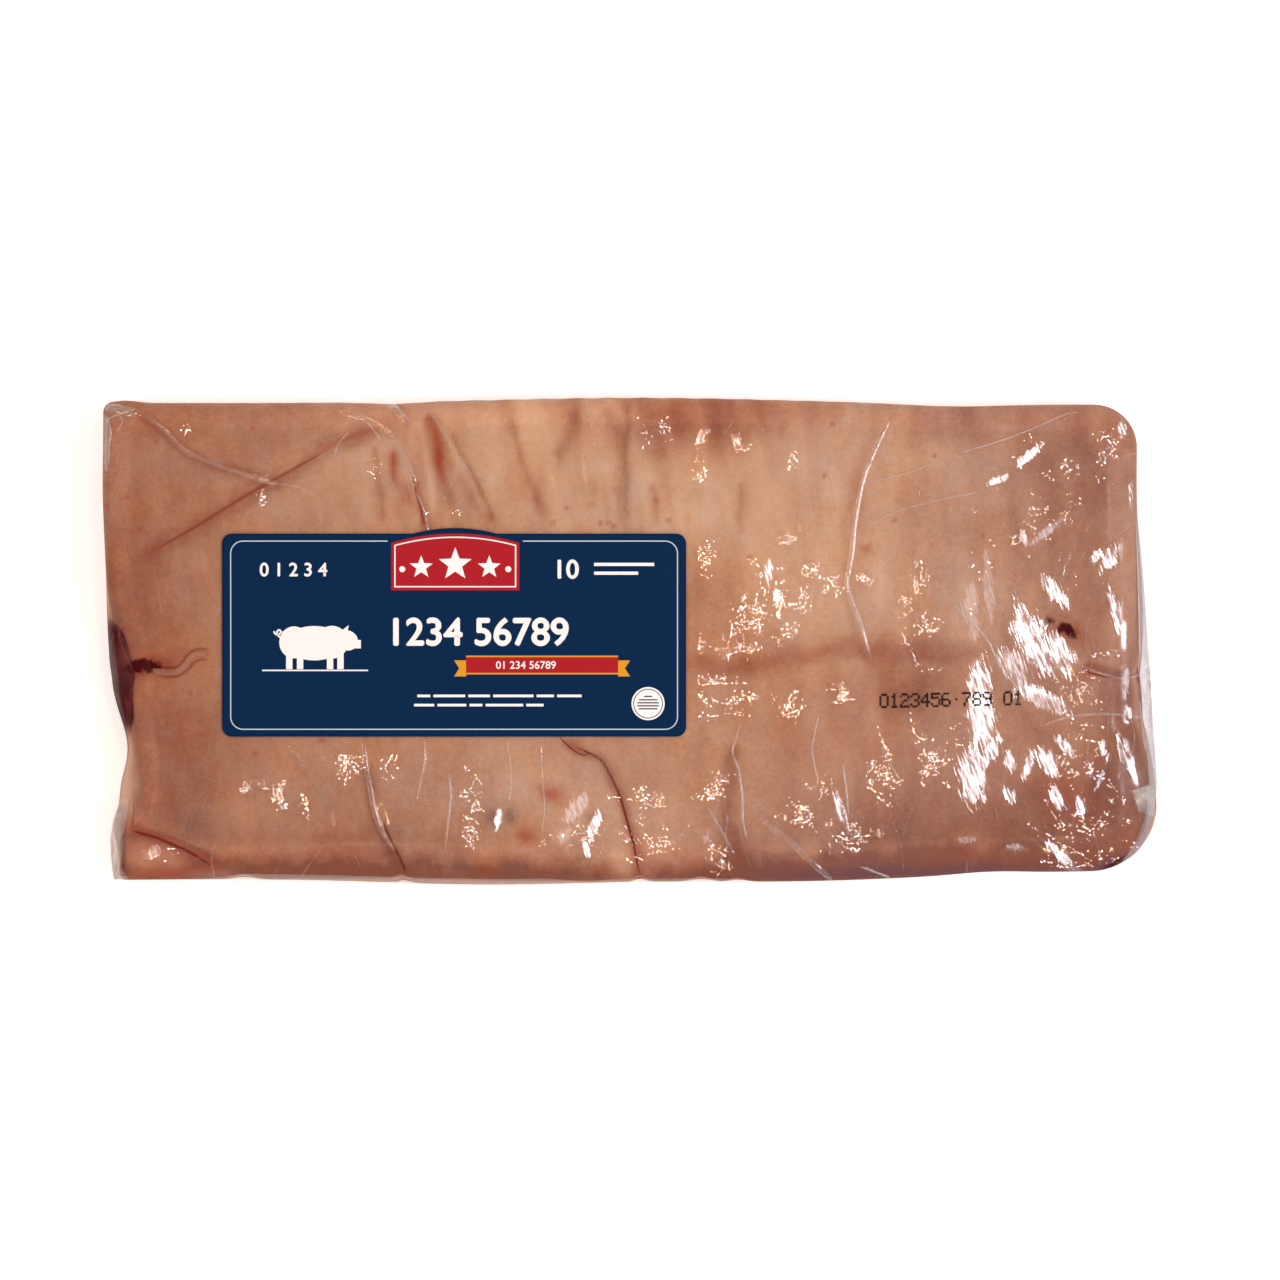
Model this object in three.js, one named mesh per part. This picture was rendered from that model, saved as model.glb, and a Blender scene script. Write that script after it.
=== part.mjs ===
// A skin-on pork belly slab, vacuum packed in a clear shrink bag, with a front label.
// Millimetres. +X runs along the slab, +Y across it and +Z up through its thickness.
// The origin is the centre of the base that the slab lies on, skin side up.
import * as THREE from "three";
import { mergeGeometries, mergeVertices } from "three/addons/utils/BufferGeometryUtils.js";

// Driving sizes of the slab: a whole belly, trimmed square.
const LENGTH = 524;
const WIDTH = 236;
const THICKNESS = 37.5;
const TAPER = 1.8; // the back edge (+Y) is this much thicker than the middle, the front edge thinner

// How far in from the outline the skin starts to turn over the edge.
const SHOULDER = { back: 8, front: 13, left: 9, right: 11 };
const SIDE_FULLNESS = 0.62; // 1 is a half-round side, 0 a square one

// Outline: each corner of the trimmed slab, with its shift from a true rectangle and its radius.
const CORNERS = [
  { x: -1, y: 1, dx: -2.6, dy: 1.2, radius: 5 },
  { x: 1, y: 1, dx: -7.8, dy: 0.3, radius: 22 },
  { x: 1, y: -1, dx: 2.6, dy: 2.2, radius: 34 },
  { x: -1, y: -1, dx: 0.8, dy: -2.8, radius: 5 },
];

// Long swellings and hollows of each edge: centre and half length along it, and how far out it goes.
const EDGE_SWELLS = [
  { edge: "back", at: 12, half: 105, out: 3.0 },
  { edge: "back", at: -115, half: 16, out: -1.0 },
  { edge: "back", at: 168, half: 34, out: -1.3 },
  { edge: "back", at: -250, half: 8, out: 1.2 },
  { edge: "front", at: -70, half: 78, out: 3.9 },
  { edge: "front", at: 80, half: 90, out: 3.8 },
  { edge: "front", at: 178, half: 22, out: -1.2 },
  { edge: "left", at: 72, half: 26, out: 0.9 },
  { edge: "left", at: -25, half: 25, out: -0.9 },
  { edge: "left", at: -80, half: 9, out: -2.2 },
  { edge: "left", at: -53, half: 22, out: -9 },
  { edge: "right", at: 62, half: 40, out: -2.0 },
  { edge: "right", at: -74, half: 26, out: 1.6 },
];
const SWELL_REACH = 58; // an edge's swelling dies away this far in

// Where the skin was trimmed back further than the meat below it, so that the meat shows.
const TRIMMED_SKIN = [
  { edge: "left", at: -14, half: 27, back: 9.5 },
  { edge: "left", at: -76, half: 22, back: 8.5 },
  { edge: "right", at: -28, half: 62, back: 6.0 },
  { edge: "front", at: -90, half: 75, back: 2.6 },
];

// The low flap at the front left corner, outside a cut through the skin.
const FLAP_CUT = [[-264, -87], [-250, -95], [-237, -99], [-223, -104.5], [-213, -110], [-197, -124]];
const FLAP = { drop: 7, slope: 8 };

// Creases and pits in the skin: a path along the skin, how deep, and the half width.
const CREASES = [
  { name: "long diagonal fold", depth: 2.4, half: 5, path: [[-250, 38], [-222, 54], [-196, 70], [-173, 83], [-148, 98], [-125, 107]] },
  { name: "corner fold", depth: 1.5, half: 4, path: [[-247, 112], [-232, 102], [-221, 92], [-205, 86], [-181, 79]] },
  { name: "pleat, left", depth: 1.8, half: 4, path: [[-120, 95], [-117, 82], [-111, 73], [-105, 64], [-103, 56]] },
  { name: "deep pleat", depth: 3.0, half: 4.5, path: [[-101, 112], [-97, 103], [-95, 92], [-93, 80]] },
  { name: "pleat, fanned", depth: 1.3, half: 4, path: [[-92, 90], [-82, 74], [-70, 58]] },
  { name: "pleat, middle left", depth: 1.2, half: 4.5, path: [[-54, 100], [-50, 82], [-41, 60]] },
  { name: "pleat, short", depth: 1.3, half: 4, path: [[-29, 116], [-32, 102], [-37, 90]] },
  { name: "pleat, middle", depth: 1.9, half: 4.5, path: [[-13, 117], [-6, 102], [-5, 78], [-4, 54]] },
  { name: "pleat, middle right", depth: 1.2, half: 5, path: [[14, 98], [16, 80], [10, 60]] },
  { name: "pleat, right", depth: 1.0, half: 5, path: [[62, 108], [60, 85], [56, 62]] },
  { name: "long pleat", depth: 1.3, half: 5, path: [[121, 106], [110, 70], [107, 34], [113, 3], [124, -18]] },
  { name: "cross valley", depth: 2.0, half: 7, path: [[20, -13], [55, -12], [85, -7], [110, -4], [137, -5], [176, -8]] },
  { name: "front crack", depth: 3.2, half: 3.4, path: [[-35, -49], [-24, -56], [-15, -60], [-8, -72], [-3, -85], [2, -102], [5, -124]] },
  { name: "front left crack", depth: 2.6, half: 3.4, path: [[-133, -60], [-131, -76], [-126, -90], [-122, -102], [-113, -124]] },
  { name: "front valley", depth: 1.8, half: 5, path: [[52, -52], [50, -70], [49, -88], [53, -106], [54, -124]] },
  { name: "front pleat", depth: 1.0, half: 4.5, path: [[88, -60], [98, -78], [104, -100]] },
  { name: "blood slit", depth: 3.4, half: 3.6, path: [[-262, -19], [-248, -16], [-240, -12], [-233, -13]] },
  { name: "red pit", depth: 3.2, half: 5, path: [[207, 10], [219, 4], [228, -6]] },
  { name: "right fold", depth: 1.8, half: 4, path: [[226, -13], [236, -16], [246, -18], [258, -17]] },
  { name: "right lower fold", depth: 1.4, half: 5, path: [[205, -45], [226, -40], [246, -39], [262, -40]] },
  { name: "grey dent", depth: 2.0, half: 12, path: [[-222, -92], [-212, -96]] },
  { name: "front tuck, left", depth: 2.2, half: 6, path: [[-196, -108], [-193, -124]] },
  { name: "front tuck, right", depth: 2.4, half: 6, path: [[34, -110], [36, -124]] },
];
const CREASE_STEPS = 20;

// Low swells of the skin, as sine waves: length and direction in the plane, height and phase.
const WAVES = [
  { length: 150, turn: 0.3, height: 0.6, phase: 0.4 },
  { length: 96, turn: 1.25, height: 0.45, phase: 2.1 },
  { length: 61, turn: -0.5, height: 0.3, phase: 4.0 },
];
// Fine upright ribs in the skin above the middle.
const RIBS = { height: 0.45, spacing: 17, lean: 0.12, at: [-20, 86], half: [120, 34] };

// The label: a printed sheet stuck on the bag, with a low arch in its back edge.
const LABEL = { width: 232, height: 101.5, radius: 5, x: -88.2, y: 2.4, thickness: 0.4 };
const ARCH = { at: -87.6, half: 21, rise: 2.8 };
const LABEL_GAP = 0.3;
const LABEL_MARGIN = 7; // the skin is pressed flat this far out from the label's edge

// Mesh fineness: cells along and across the sheet that wraps the slab, and rings of them down its side.
const CELLS = { along: 104, across: 48, rings: 6, crowding: 0.08 };
const LABEL_CELLS = { along: 28, across: 12 };

const smooth = (x, low, high) => THREE.MathUtils.smoothstep(x, low, high);
const bell = (x, centre, half) => Math.exp(-(((x - centre) / half) ** 2));

// A point on a rounded rectangle, with its outward direction. (px, py) lies on the rim of the square
// from -1 to 1, whose corners fall on the middles of the corner arcs.
function rimPoint(px, py, halfX, halfY, radius) {
  const onEnd = Math.abs(px) >= Math.abs(py);
  const [across, along] = onEnd ? [px, py] : [py, px];
  const [depth, reach] = onEnd ? [halfX, halfY] : [halfY, halfX];
  const toCorner = reach * (1 - Math.abs(along));
  const turn = toCorner < radius ? (1 - toCorner / radius) * (Math.PI / 4) : 0;
  const out = Math.sign(across) * (depth - radius * (1 - Math.cos(turn)));
  const side = turn ? Math.sign(along) * (reach - radius + radius * Math.sin(turn)) : along * reach;
  const normal = [Math.sign(across) * Math.cos(turn), Math.sign(along) * Math.sin(turn)];
  return onEnd
    ? { x: out, y: side, nx: normal[0], ny: normal[1] }
    : { x: side, y: out, nx: normal[1], ny: normal[0] };
}

const cornerAt = (px, py) => CORNERS.find((c) => c.x * px >= 0 && c.y * py >= 0);

// How near an edge a point is, from 0 at SWELL_REACH in to 1 at the edge, and the place along that edge.
function nearEdge(edge, x, y) {
  const inward = {
    back: WIDTH / 2 - y,
    front: WIDTH / 2 + y,
    left: LENGTH / 2 + x,
    right: LENGTH / 2 - x,
  }[edge];
  const place = edge === "back" || edge === "front" ? x : y;
  return { share: 1 - smooth(inward, 0, SWELL_REACH), place };
}

const OUTWARD = { back: [0, 1], front: [0, -1], left: [-1, 0], right: [1, 0] };

// Moves a point of the true rectangle to where the uneven, trimmed slab has it. high is 1 at the skin.
function trim(x, y, high) {
  let [movedX, movedY] = [x, y];
  for (const c of CORNERS) {
    const share = ((1 + (c.x * x) / (LENGTH / 2)) / 2) * ((1 + (c.y * y) / (WIDTH / 2)) / 2);
    movedX += c.dx * share;
    movedY += c.dy * share;
  }
  const push = (edge, amount) => {
    movedX += OUTWARD[edge][0] * amount;
    movedY += OUTWARD[edge][1] * amount;
  };
  for (const s of EDGE_SWELLS) {
    const { share, place } = nearEdge(s.edge, x, y);
    push(s.edge, s.out * bell(place, s.at, s.half) * share);
  }
  for (const t of TRIMMED_SKIN) {
    const { share, place } = nearEdge(t.edge, x, y);
    push(t.edge, -t.back * bell(place, t.at, t.half) * share * high);
  }
  return [movedX, movedY];
}

const flatPath = (points, steps) =>
  new THREE.SplineCurve(points.map(([x, y]) => new THREE.Vector2(x, y))).getPoints(steps);

// Distance from a point to a path, the share of the path's length there and the side of it.
function alongPath(path, x, y) {
  let best = { distance: Infinity, share: 0, side: 1 };
  for (let i = 0; i < path.length - 1; i++) {
    const [a, b] = [path[i], path[i + 1]];
    const [dx, dy] = [b.x - a.x, b.y - a.y];
    const t = THREE.MathUtils.clamp(((x - a.x) * dx + (y - a.y) * dy) / (dx * dx + dy * dy), 0, 1);
    const distance = Math.hypot(x - a.x - t * dx, y - a.y - t * dy);
    if (distance < best.distance) {
      const side = Math.sign(dx * (y - a.y) - dy * (x - a.x)) || 1;
      best = { distance, share: (i + t) / (path.length - 1), side };
    }
  }
  return best;
}

const creasePaths = CREASES.map((c) => ({ ...c, path: flatPath(c.path, CREASE_STEPS) }));
const flapCut = flatPath(FLAP_CUT, CREASE_STEPS);

// The skin's smooth height, which the label lies on.
function baseHeight(x, y) {
  let z = THICKNESS + TAPER * (y / (WIDTH / 2));
  for (const w of WAVES) {
    const along = x * Math.cos(w.turn) + y * Math.sin(w.turn);
    z += w.height * Math.sin((along / w.length) * 2 * Math.PI + w.phase);
  }
  return z;
}

// 1 under the label and its margin, 0 away from it.
function underLabel(x, y) {
  const outX = Math.abs(x - LABEL.x) - LABEL.width / 2;
  const outY = Math.abs(y - LABEL.y) - LABEL.height / 2 - ARCH.rise;
  return 1 - smooth(Math.max(outX, outY), 0, LABEL_MARGIN);
}

// How far the creases and ribs lift the skin from its smooth height.
function relief(x, y) {
  const ribbed = bell(x, RIBS.at[0], RIBS.half[0]) * bell(y, RIBS.at[1], RIBS.half[1]);
  const wave = Math.sin(((x + y * RIBS.lean) / RIBS.spacing) * 2 * Math.PI);
  let lift = RIBS.height * ribbed * wave * (1 - underLabel(x, y));
  for (const c of creasePaths) {
    const { distance, share } = alongPath(c.path, x, y);
    lift -= c.depth * bell(distance, 0, c.half) * smooth(share, 0, 0.12);
  }
  return lift;
}

// How far the corner flap lies below the skin round it.
function flapDrop(x, y) {
  const { distance, side } = alongPath(flapCut, x, y);
  return FLAP.drop * smooth(-side * distance, -FLAP.slope / 2, FLAP.slope / 2);
}

// The shoulder's width at a point of the rim, from the four edges' widths.
function shoulderAt(px, py) {
  const ends = px < 0 ? SHOULDER.left : SHOULDER.right;
  const sides = py < 0 ? SHOULDER.front : SHOULDER.back;
  const share = smooth(Math.abs(px) - Math.abs(py), -0.25, 0.25);
  return ends * share + sides * (1 - share);
}

// Cells are smaller towards the ends of a side, where the corners turn. p runs from -1 to 1.
const crowded = (p) => p + CELLS.crowding * Math.sin(Math.PI * p);

// A point of the sheet that wraps the slab. (i, j) counts cells. The outer rings go down the side,
// from the shoulder to the base, and the rest is the skin side.
function slabPoint(i, j) {
  const { along, across, rings } = CELLS;
  const ring = Math.min(i, along - i, j, across - j, rings);
  const px = crowded((2 * i - along) / (along - 2 * ring));
  const py = crowded((2 * j - across) / (across - 2 * ring));
  const size = Math.max(Math.abs(px), Math.abs(py));
  const [dirX, dirY] = size ? [px / size, py / size] : [1, 0];
  const shoulder = shoulderAt(dirX, dirY);
  const fall = (1 - ring / rings) * Math.PI; // 0 at the shoulder, half a turn at the base
  const out = shoulder * Math.sin(fall) ** SIDE_FULLNESS;
  const high = (1 + Math.sign(Math.cos(fall)) * Math.abs(Math.cos(fall)) ** SIDE_FULLNESS) / 2;
  const { radius } = cornerAt(dirX, dirY);
  const topRadius = Math.max(radius - shoulder, 2);
  const corner = topRadius + ((radius - topRadius) * out) / shoulder;
  const inner = smooth(size, 0.6, 1);
  const halfX = size * (LENGTH / 2 - shoulder + out);
  const halfY = size * (WIDTH / 2 - shoulder + out);
  const rim = rimPoint(dirX, dirY, halfX, halfY, Math.max(corner * inner, 1e-6));
  const [x, y] = trim(rim.x, rim.y, smooth(high, 0.45, 0.85));
  const lean = Math.sin(fall) ** 2;
  const dent = relief(x, y) * smooth(high, 0, 0.7);
  return new THREE.Vector3(
    x + rim.nx * dent * lean,
    y + rim.ny * dent * lean,
    (baseHeight(x, y) - flapDrop(x, y) + dent * (1 - lean)) * high,
  );
}

// Sets a plane's vertices by a function of their cell counts (i, j).
function mappedSheet(cells, place) {
  const sheet = new THREE.PlaneGeometry(1, 1, cells.along, cells.across);
  const position = sheet.getAttribute("position");
  for (let n = 0; n < position.count; n++) {
    const i = n % (cells.along + 1);
    const j = cells.across - Math.floor(n / (cells.along + 1));
    position.setXYZ(n, ...place(i, j));
  }
  return bare(sheet);
}

// Only the positions, so that sheets that share an edge can be welded.
function bare(geometry) {
  geometry.deleteAttribute("normal");
  geometry.deleteAttribute("uv");
  return geometry;
}

// The cells' counts round a sheet's rim, anticlockwise seen from above.
function rimCells({ along, across }) {
  const rim = [];
  for (let i = 0; i < along; i++) rim.push([i, 0]);
  for (let j = 0; j < across; j++) rim.push([along, j]);
  for (let i = along; i > 0; i--) rim.push([i, across]);
  for (let j = across; j > 0; j--) rim.push([0, j]);
  return rim;
}

function slab() {
  const skin = mappedSheet(CELLS, slabPoint);
  const rim = rimCells(CELLS).map(([i, j]) => slabPoint(i, j));
  const outline = rim.map((p) => new THREE.Vector2(p.x, p.y));
  const base = new THREE.BufferGeometry().setFromPoints(rim);
  const faces = THREE.ShapeUtils.triangulateShape(outline, []);
  base.setIndex(faces.flatMap(([a, b, c]) => [a, c, b])); // facing down
  return mergeVertices(mergeGeometries([skin, base]), 1e-3).toNonIndexed();
}

// A point of the label's sheet, lift above the skin's smooth height.
function labelPoint(i, j, lift) {
  const { along, across } = LABEL_CELLS;
  const [px, py] = [(2 * i) / along - 1, (2 * j) / across - 1];
  const size = Math.max(Math.abs(px), Math.abs(py));
  const [dirX, dirY] = size ? [px / size, py / size] : [1, 0];
  const round = Math.max(LABEL.radius * smooth(size, 0.7, 1), 1e-6);
  const rim = rimPoint(dirX, dirY, (size * LABEL.width) / 2, (size * LABEL.height) / 2, round);
  const x = rim.x + LABEL.x;
  const arch = ARCH.rise * Math.max(0, 1 - ((x - ARCH.at) / ARCH.half) ** 2);
  const y = rim.y + LABEL.y + arch * smooth(rim.y, 0, LABEL.height / 2);
  return new THREE.Vector3(x, y, baseHeight(x, y) + LABEL_GAP + lift);
}

function label() {
  const face = mappedSheet(LABEL_CELLS, (i, j) => labelPoint(i, j, LABEL.thickness));
  const back = mappedSheet(LABEL_CELLS, (i, j) => labelPoint(i, j, 0));
  back.setIndex([...back.index.array].reverse()); // facing down
  const rim = rimCells(LABEL_CELLS);
  const edge = new THREE.BufferGeometry().setFromPoints(
    rim.flatMap(([i, j]) => [labelPoint(i, j, 0), labelPoint(i, j, LABEL.thickness)]),
  );
  const turns = rim.flatMap((_, n) => {
    const [low, next] = [2 * n, (2 * n + 2) % (2 * rim.length)];
    return [low, next, next + 1, low, next + 1, low + 1];
  });
  edge.setIndex(turns);
  return mergeVertices(mergeGeometries([face, back, edge]), 1e-3).toNonIndexed();
}

function piece(name, geometry, look) {
  geometry.computeVertexNormals();
  const mesh = new THREE.Mesh(geometry, new THREE.MeshStandardMaterial(look));
  mesh.name = name;
  return mesh;
}

const pack = new THREE.Group();
pack.add(
  piece("belly_slab", slab(), { color: 0xb98565, roughness: 0.25, metalness: 0 }),
  piece("label", label(), { color: 0x0b274b, roughness: 0.35, metalness: 0 }),
);

// The origin goes to the middle of the base.
const middle = new THREE.Box3().setFromObject(pack).getCenter(new THREE.Vector3());
pack.position.set(-middle.x, -middle.y, 0);

export default pack;
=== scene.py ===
"""Looks of a vacuum-packed slab of skin-on pork belly with a front label.

Every table below is in millimetres, in the slab's own plan: +X along its length, +Y across it, +Z up.
"""

import math

import bpy
import numpy as np
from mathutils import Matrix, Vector
from mathutils.bvhtree import BVHTree


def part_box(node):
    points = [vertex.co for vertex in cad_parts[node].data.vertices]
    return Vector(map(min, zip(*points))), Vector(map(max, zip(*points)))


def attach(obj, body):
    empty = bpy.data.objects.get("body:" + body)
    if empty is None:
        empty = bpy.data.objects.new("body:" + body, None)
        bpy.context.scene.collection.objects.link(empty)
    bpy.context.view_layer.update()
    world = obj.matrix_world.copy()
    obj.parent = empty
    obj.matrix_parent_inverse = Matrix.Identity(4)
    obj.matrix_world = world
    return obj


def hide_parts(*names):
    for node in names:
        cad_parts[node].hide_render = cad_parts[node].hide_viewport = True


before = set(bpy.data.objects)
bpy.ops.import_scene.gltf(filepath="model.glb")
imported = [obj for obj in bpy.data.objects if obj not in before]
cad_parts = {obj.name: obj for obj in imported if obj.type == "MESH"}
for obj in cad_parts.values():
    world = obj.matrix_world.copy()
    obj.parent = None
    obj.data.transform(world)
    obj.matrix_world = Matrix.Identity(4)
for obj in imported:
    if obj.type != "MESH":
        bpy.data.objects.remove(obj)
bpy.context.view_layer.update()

MM = 0.001
SEED = 7

# ---------------------------------------------------------------- the slab's form, as its solid has it
LENGTH, WIDTH, THICKNESS = 524, 236, 37.5
TAPER = 1.8  # the back edge is this much thicker than the middle
SHOULDER = {"back": 8, "front": 13, "left": 9, "right": 11}
SIDE_FULLNESS = 0.62  # the curve of the sides: 1 is a half circle, and less is fuller
CROWDING = 0.08  # the sheet's lines crowd towards its edges by this much
CORNER_BLEND = 0.25  # how far one edge's shoulder turns into the next round a corner
ROUNDED_FROM = 0.6  # the sheet's rings are rounded at their corners from this share of the way out
SKIN_FROM, SKIN_FULL = 0.45, 0.85  # shares of the height over which the skin's trim sets in
DENT_FULL = 0.7  # creases fade out below this share of the height
SOLID_CELLS = (104, 48, 6)  # cells along and across the solid's sheet, and the rings round its sides

# Corners: side in x and y, shift in x and y, radius.
CORNERS = [(-1, 1, -2.6, 1.2, 5), (1, 1, -7.8, 0.3, 22), (1, -1, 2.6, 2.2, 34), (-1, -1, 0.8, -2.8, 5)]

# Swells and hollows of the edges: edge, centre along it, half length, how far out.
EDGE_SWELLS = [
    ("back", 12, 105, 3.0), ("back", -115, 16, -1.0), ("back", 168, 34, -1.3), ("back", -250, 8, 1.2),
    ("front", -70, 78, 3.9), ("front", 80, 90, 3.8), ("front", 178, 22, -1.2), ("left", 72, 26, 0.9),
    ("left", -25, 25, -0.9), ("left", -80, 9, -2.2), ("left", -53, 22, -9.0), ("right", 62, 40, -2.0),
    ("right", -74, 26, 1.6),
]
SWELL_REACH = 58  # a swell fades out this far in from its edge

# Where the skin is trimmed back further than the meat: edge, centre, half length, how far back.
TRIMMED_SKIN = [
    ("left", -14, 27, 9.5), ("left", -76, 22, 8.5), ("right", -28, 62, 6.0), ("front", -90, 75, 2.6),
]

# The cut that the corner flap hangs from, how far the flap drops, and over what width.
FLAP_CUT = [(-264, -87), (-250, -95), (-237, -99), (-223, -104.5), (-213, -110), (-197, -124)]
FLAP_DROP, FLAP_SLOPE = 7, 8

# Creases and pits: depth, half width, path.
CREASES = {
    "long diagonal fold": (2.4, 5, [(-250, 38), (-222, 54), (-196, 70), (-173, 83), (-148, 98),
        (-125, 107)]),
    "corner fold": (1.5, 4, [(-247, 112), (-232, 102), (-221, 92), (-205, 86), (-181, 79)]),
    "pleat, left": (1.8, 4, [(-120, 95), (-117, 82), (-111, 73), (-105, 64), (-103, 56)]),
    "deep pleat": (3.0, 4.5, [(-101, 112), (-97, 103), (-95, 92), (-93, 80)]),
    "pleat, fanned": (1.3, 4, [(-92, 90), (-82, 74), (-70, 58)]),
    "pleat, middle left": (1.2, 4.5, [(-54, 100), (-50, 82), (-41, 60)]),
    "pleat, short": (1.3, 4, [(-29, 116), (-32, 102), (-37, 90)]),
    "pleat, middle": (1.9, 4.5, [(-13, 117), (-6, 102), (-5, 78), (-4, 54)]),
    "pleat, middle right": (1.2, 5, [(14, 98), (16, 80), (10, 60)]),
    "pleat, right": (1.0, 5, [(62, 108), (60, 85), (56, 62)]),
    "long pleat": (1.3, 5, [(121, 106), (110, 70), (107, 34), (113, 3), (124, -18)]),
    "cross valley": (2.0, 7, [(20, -13), (55, -12), (85, -7), (110, -4), (137, -5), (176, -8)]),
    "front crack": (3.2, 3.4, [(-35, -49), (-24, -56), (-15, -60), (-8, -72), (-3, -85), (2, -102),
        (5, -124)]),
    "front left crack": (2.6, 3.4, [(-133, -60), (-131, -76), (-126, -90), (-122, -102), (-113, -124)]),
    "front valley": (1.8, 5, [(52, -52), (50, -70), (49, -88), (53, -106), (54, -124)]),
    "front pleat": (1.0, 4.5, [(88, -60), (98, -78), (104, -100)]),
    "blood slit": (3.4, 3.6, [(-262, -19), (-248, -16), (-240, -12), (-233, -13)]),
    "red pit": (3.2, 5, [(207, 10), (219, 4), (228, -6)]),
    "right fold": (1.8, 4, [(226, -13), (236, -16), (246, -18), (258, -17)]),
    "right lower fold": (1.4, 5, [(205, -45), (226, -40), (246, -39), (262, -40)]),
    "grey dent": (2.0, 12, [(-222, -92), (-212, -96)]),
    "front tuck, left": (2.2, 6, [(-196, -108), (-193, -124)]),
    "front tuck, right": (2.4, 6, [(34, -110), (36, -124)]),
}
CREASE_STEPS = 20
CREASE_REACH = 3  # a crease fades out within this many half widths
CREASE_START = 0.12  # and deepens over this share of its length

# Low swells of the skin: length, direction, height, phase.
WAVES = [(150, 0.3, 0.6, 0.4), (96, 1.25, 0.45, 2.1), (61, -0.5, 0.3, 4.0)]

# Ribs where the back of the skin is drawn into fine pleats.
RIBS = {"height": 0.45, "spacing": 17, "lean": 0.12, "at": (-20, 86), "half": (120, 34)}

LABEL = {"width": 232, "height": 101.5, "radius": 5, "x": -88.2, "y": 2.4, "thickness": 0.4}
ARCH = {"at": -87.6, "half": 21, "rise": 2.8}
LABEL_GAP = 0.3  # between the skin's smooth height and the label
LABEL_MARGIN = 7  # the skin is smooth under the label and this far beyond it

CAMERA_HEIGHT = 6000
MM_PER_PIXEL = 0.5
VIEW_PIXELS = 1280
VIEW_MIDDLE = (VIEW_PIXELS / 2 - 630.5) * MM_PER_PIXEL  # the slab lies this far left of the view's middle

# Soft boxes in the ceiling: middle, size, brightness, colour.
WINDOW = ((780, -60, 1500), (240, 480), 24, "#f6f7ff")
CEILING_LAMPS = [
    ((x, y, 1500), (110, 110), 60, "#ffcb98")
    for x, y in ((-260, -420), (300, -440), (60, 460), (-640, 80))
]


def smooth(x, low, high):
    """An eased step from 0 at low to 1 at high."""
    t = np.clip((x - low) / (high - low), 0, 1)
    return t * t * (3 - 2 * t)


def bell(x, centre, half):
    """1 at the centre, fading out past half to each side."""
    return np.exp(-(((x - centre) / half) ** 2))


def spline(points, steps):
    """Points along a smooth curve through the given ones."""
    p = np.array(points, float)
    last = len(p) - 1
    out = []
    for k in range(steps + 1):
        at = last * k / steps
        i = min(int(at), last)
        t = at - i
        p0, p1 = p[max(i - 1, 0)], p[i]
        p2, p3 = p[min(i + 1, last)], p[min(i + 2, last)]
        v0, v1 = (p2 - p0) / 2, (p3 - p1) / 2
        cubic, square = 2 * p1 - 2 * p2 + v0 + v1, 3 * p2 - 3 * p1 - 2 * v0 - v1
        out.append(cubic * t**3 + square * t**2 + v0 * t + p1)
    return np.array(out)


def along_path(path, x, y, reach=math.inf):
    """For points near a path: their distance from it, share of its length and side. Others are far."""
    distance = np.full(x.shape, math.inf)
    share = np.zeros(x.shape)
    side = np.ones(x.shape)
    low, high = path.min(0) - reach, path.max(0) + reach
    near = np.nonzero((x >= low[0]) & (x <= high[0]) & (y >= low[1]) & (y <= high[1]))
    px, py = x[near], y[near]
    best, part, hand = distance[near], share[near], side[near]
    for i, (a, b) in enumerate(zip(path[:-1], path[1:])):
        d = b - a
        t = np.clip(((px - a[0]) * d[0] + (py - a[1]) * d[1]) / (d @ d), 0, 1)
        gap = np.hypot(px - a[0] - t * d[0], py - a[1] - t * d[1])
        closer = gap < best
        best = np.where(closer, gap, best)
        part = np.where(closer, (i + t) / (len(path) - 1), part)
        turn = d[0] * (py - a[1]) - d[1] * (px - a[0])
        hand = np.where(closer, np.where(turn < 0, -1, 1), hand)
    distance[near], share[near], side[near] = best, part, hand
    return distance, share, side


def rim_point(px, py, half_x, half_y, radius):
    """A point on a rounded rectangle, and its outward direction, from its place on a square's rim."""
    on_end = np.abs(px) >= np.abs(py)
    across, along = np.where(on_end, px, py), np.where(on_end, py, px)
    depth, reach = np.where(on_end, half_x, half_y), np.where(on_end, half_y, half_x)
    to_corner = reach * (1 - np.abs(along))
    turn = np.where(to_corner < radius, (1 - to_corner / radius) * (math.pi / 4), 0)
    out = np.sign(across) * (depth - radius * (1 - np.cos(turn)))
    bent = np.sign(along) * (reach - radius + radius * np.sin(turn))
    side = np.where(turn > 0, bent, along * reach)
    n_out, n_side = np.sign(across) * np.cos(turn), np.sign(along) * np.sin(turn)
    x, y = np.where(on_end, out, side), np.where(on_end, side, out)
    return x, y, np.where(on_end, n_out, n_side), np.where(on_end, n_side, n_out)


def square_rim(px, py):
    """The size of the square round the middle that a point lies on, and its place on the unit square."""
    size = np.maximum(np.abs(px), np.abs(py))
    safe = np.where(size > 0, size, 1)
    return size, np.where(size > 0, px / safe, 1), np.where(size > 0, py / safe, 0)


OUTWARD = {"back": (0, 1), "front": (0, -1), "left": (-1, 0), "right": (1, 0)}


def near_edge(edge, x, y):
    """How near an edge points are, from 0 at SWELL_REACH in to 1 on it, and their places along it."""
    inward = {
        "back": WIDTH / 2 - y, "front": WIDTH / 2 + y,
        "left": LENGTH / 2 + x, "right": LENGTH / 2 - x,
    }
    return 1 - smooth(inward[edge], 0, SWELL_REACH), x if edge in ("back", "front") else y


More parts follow.
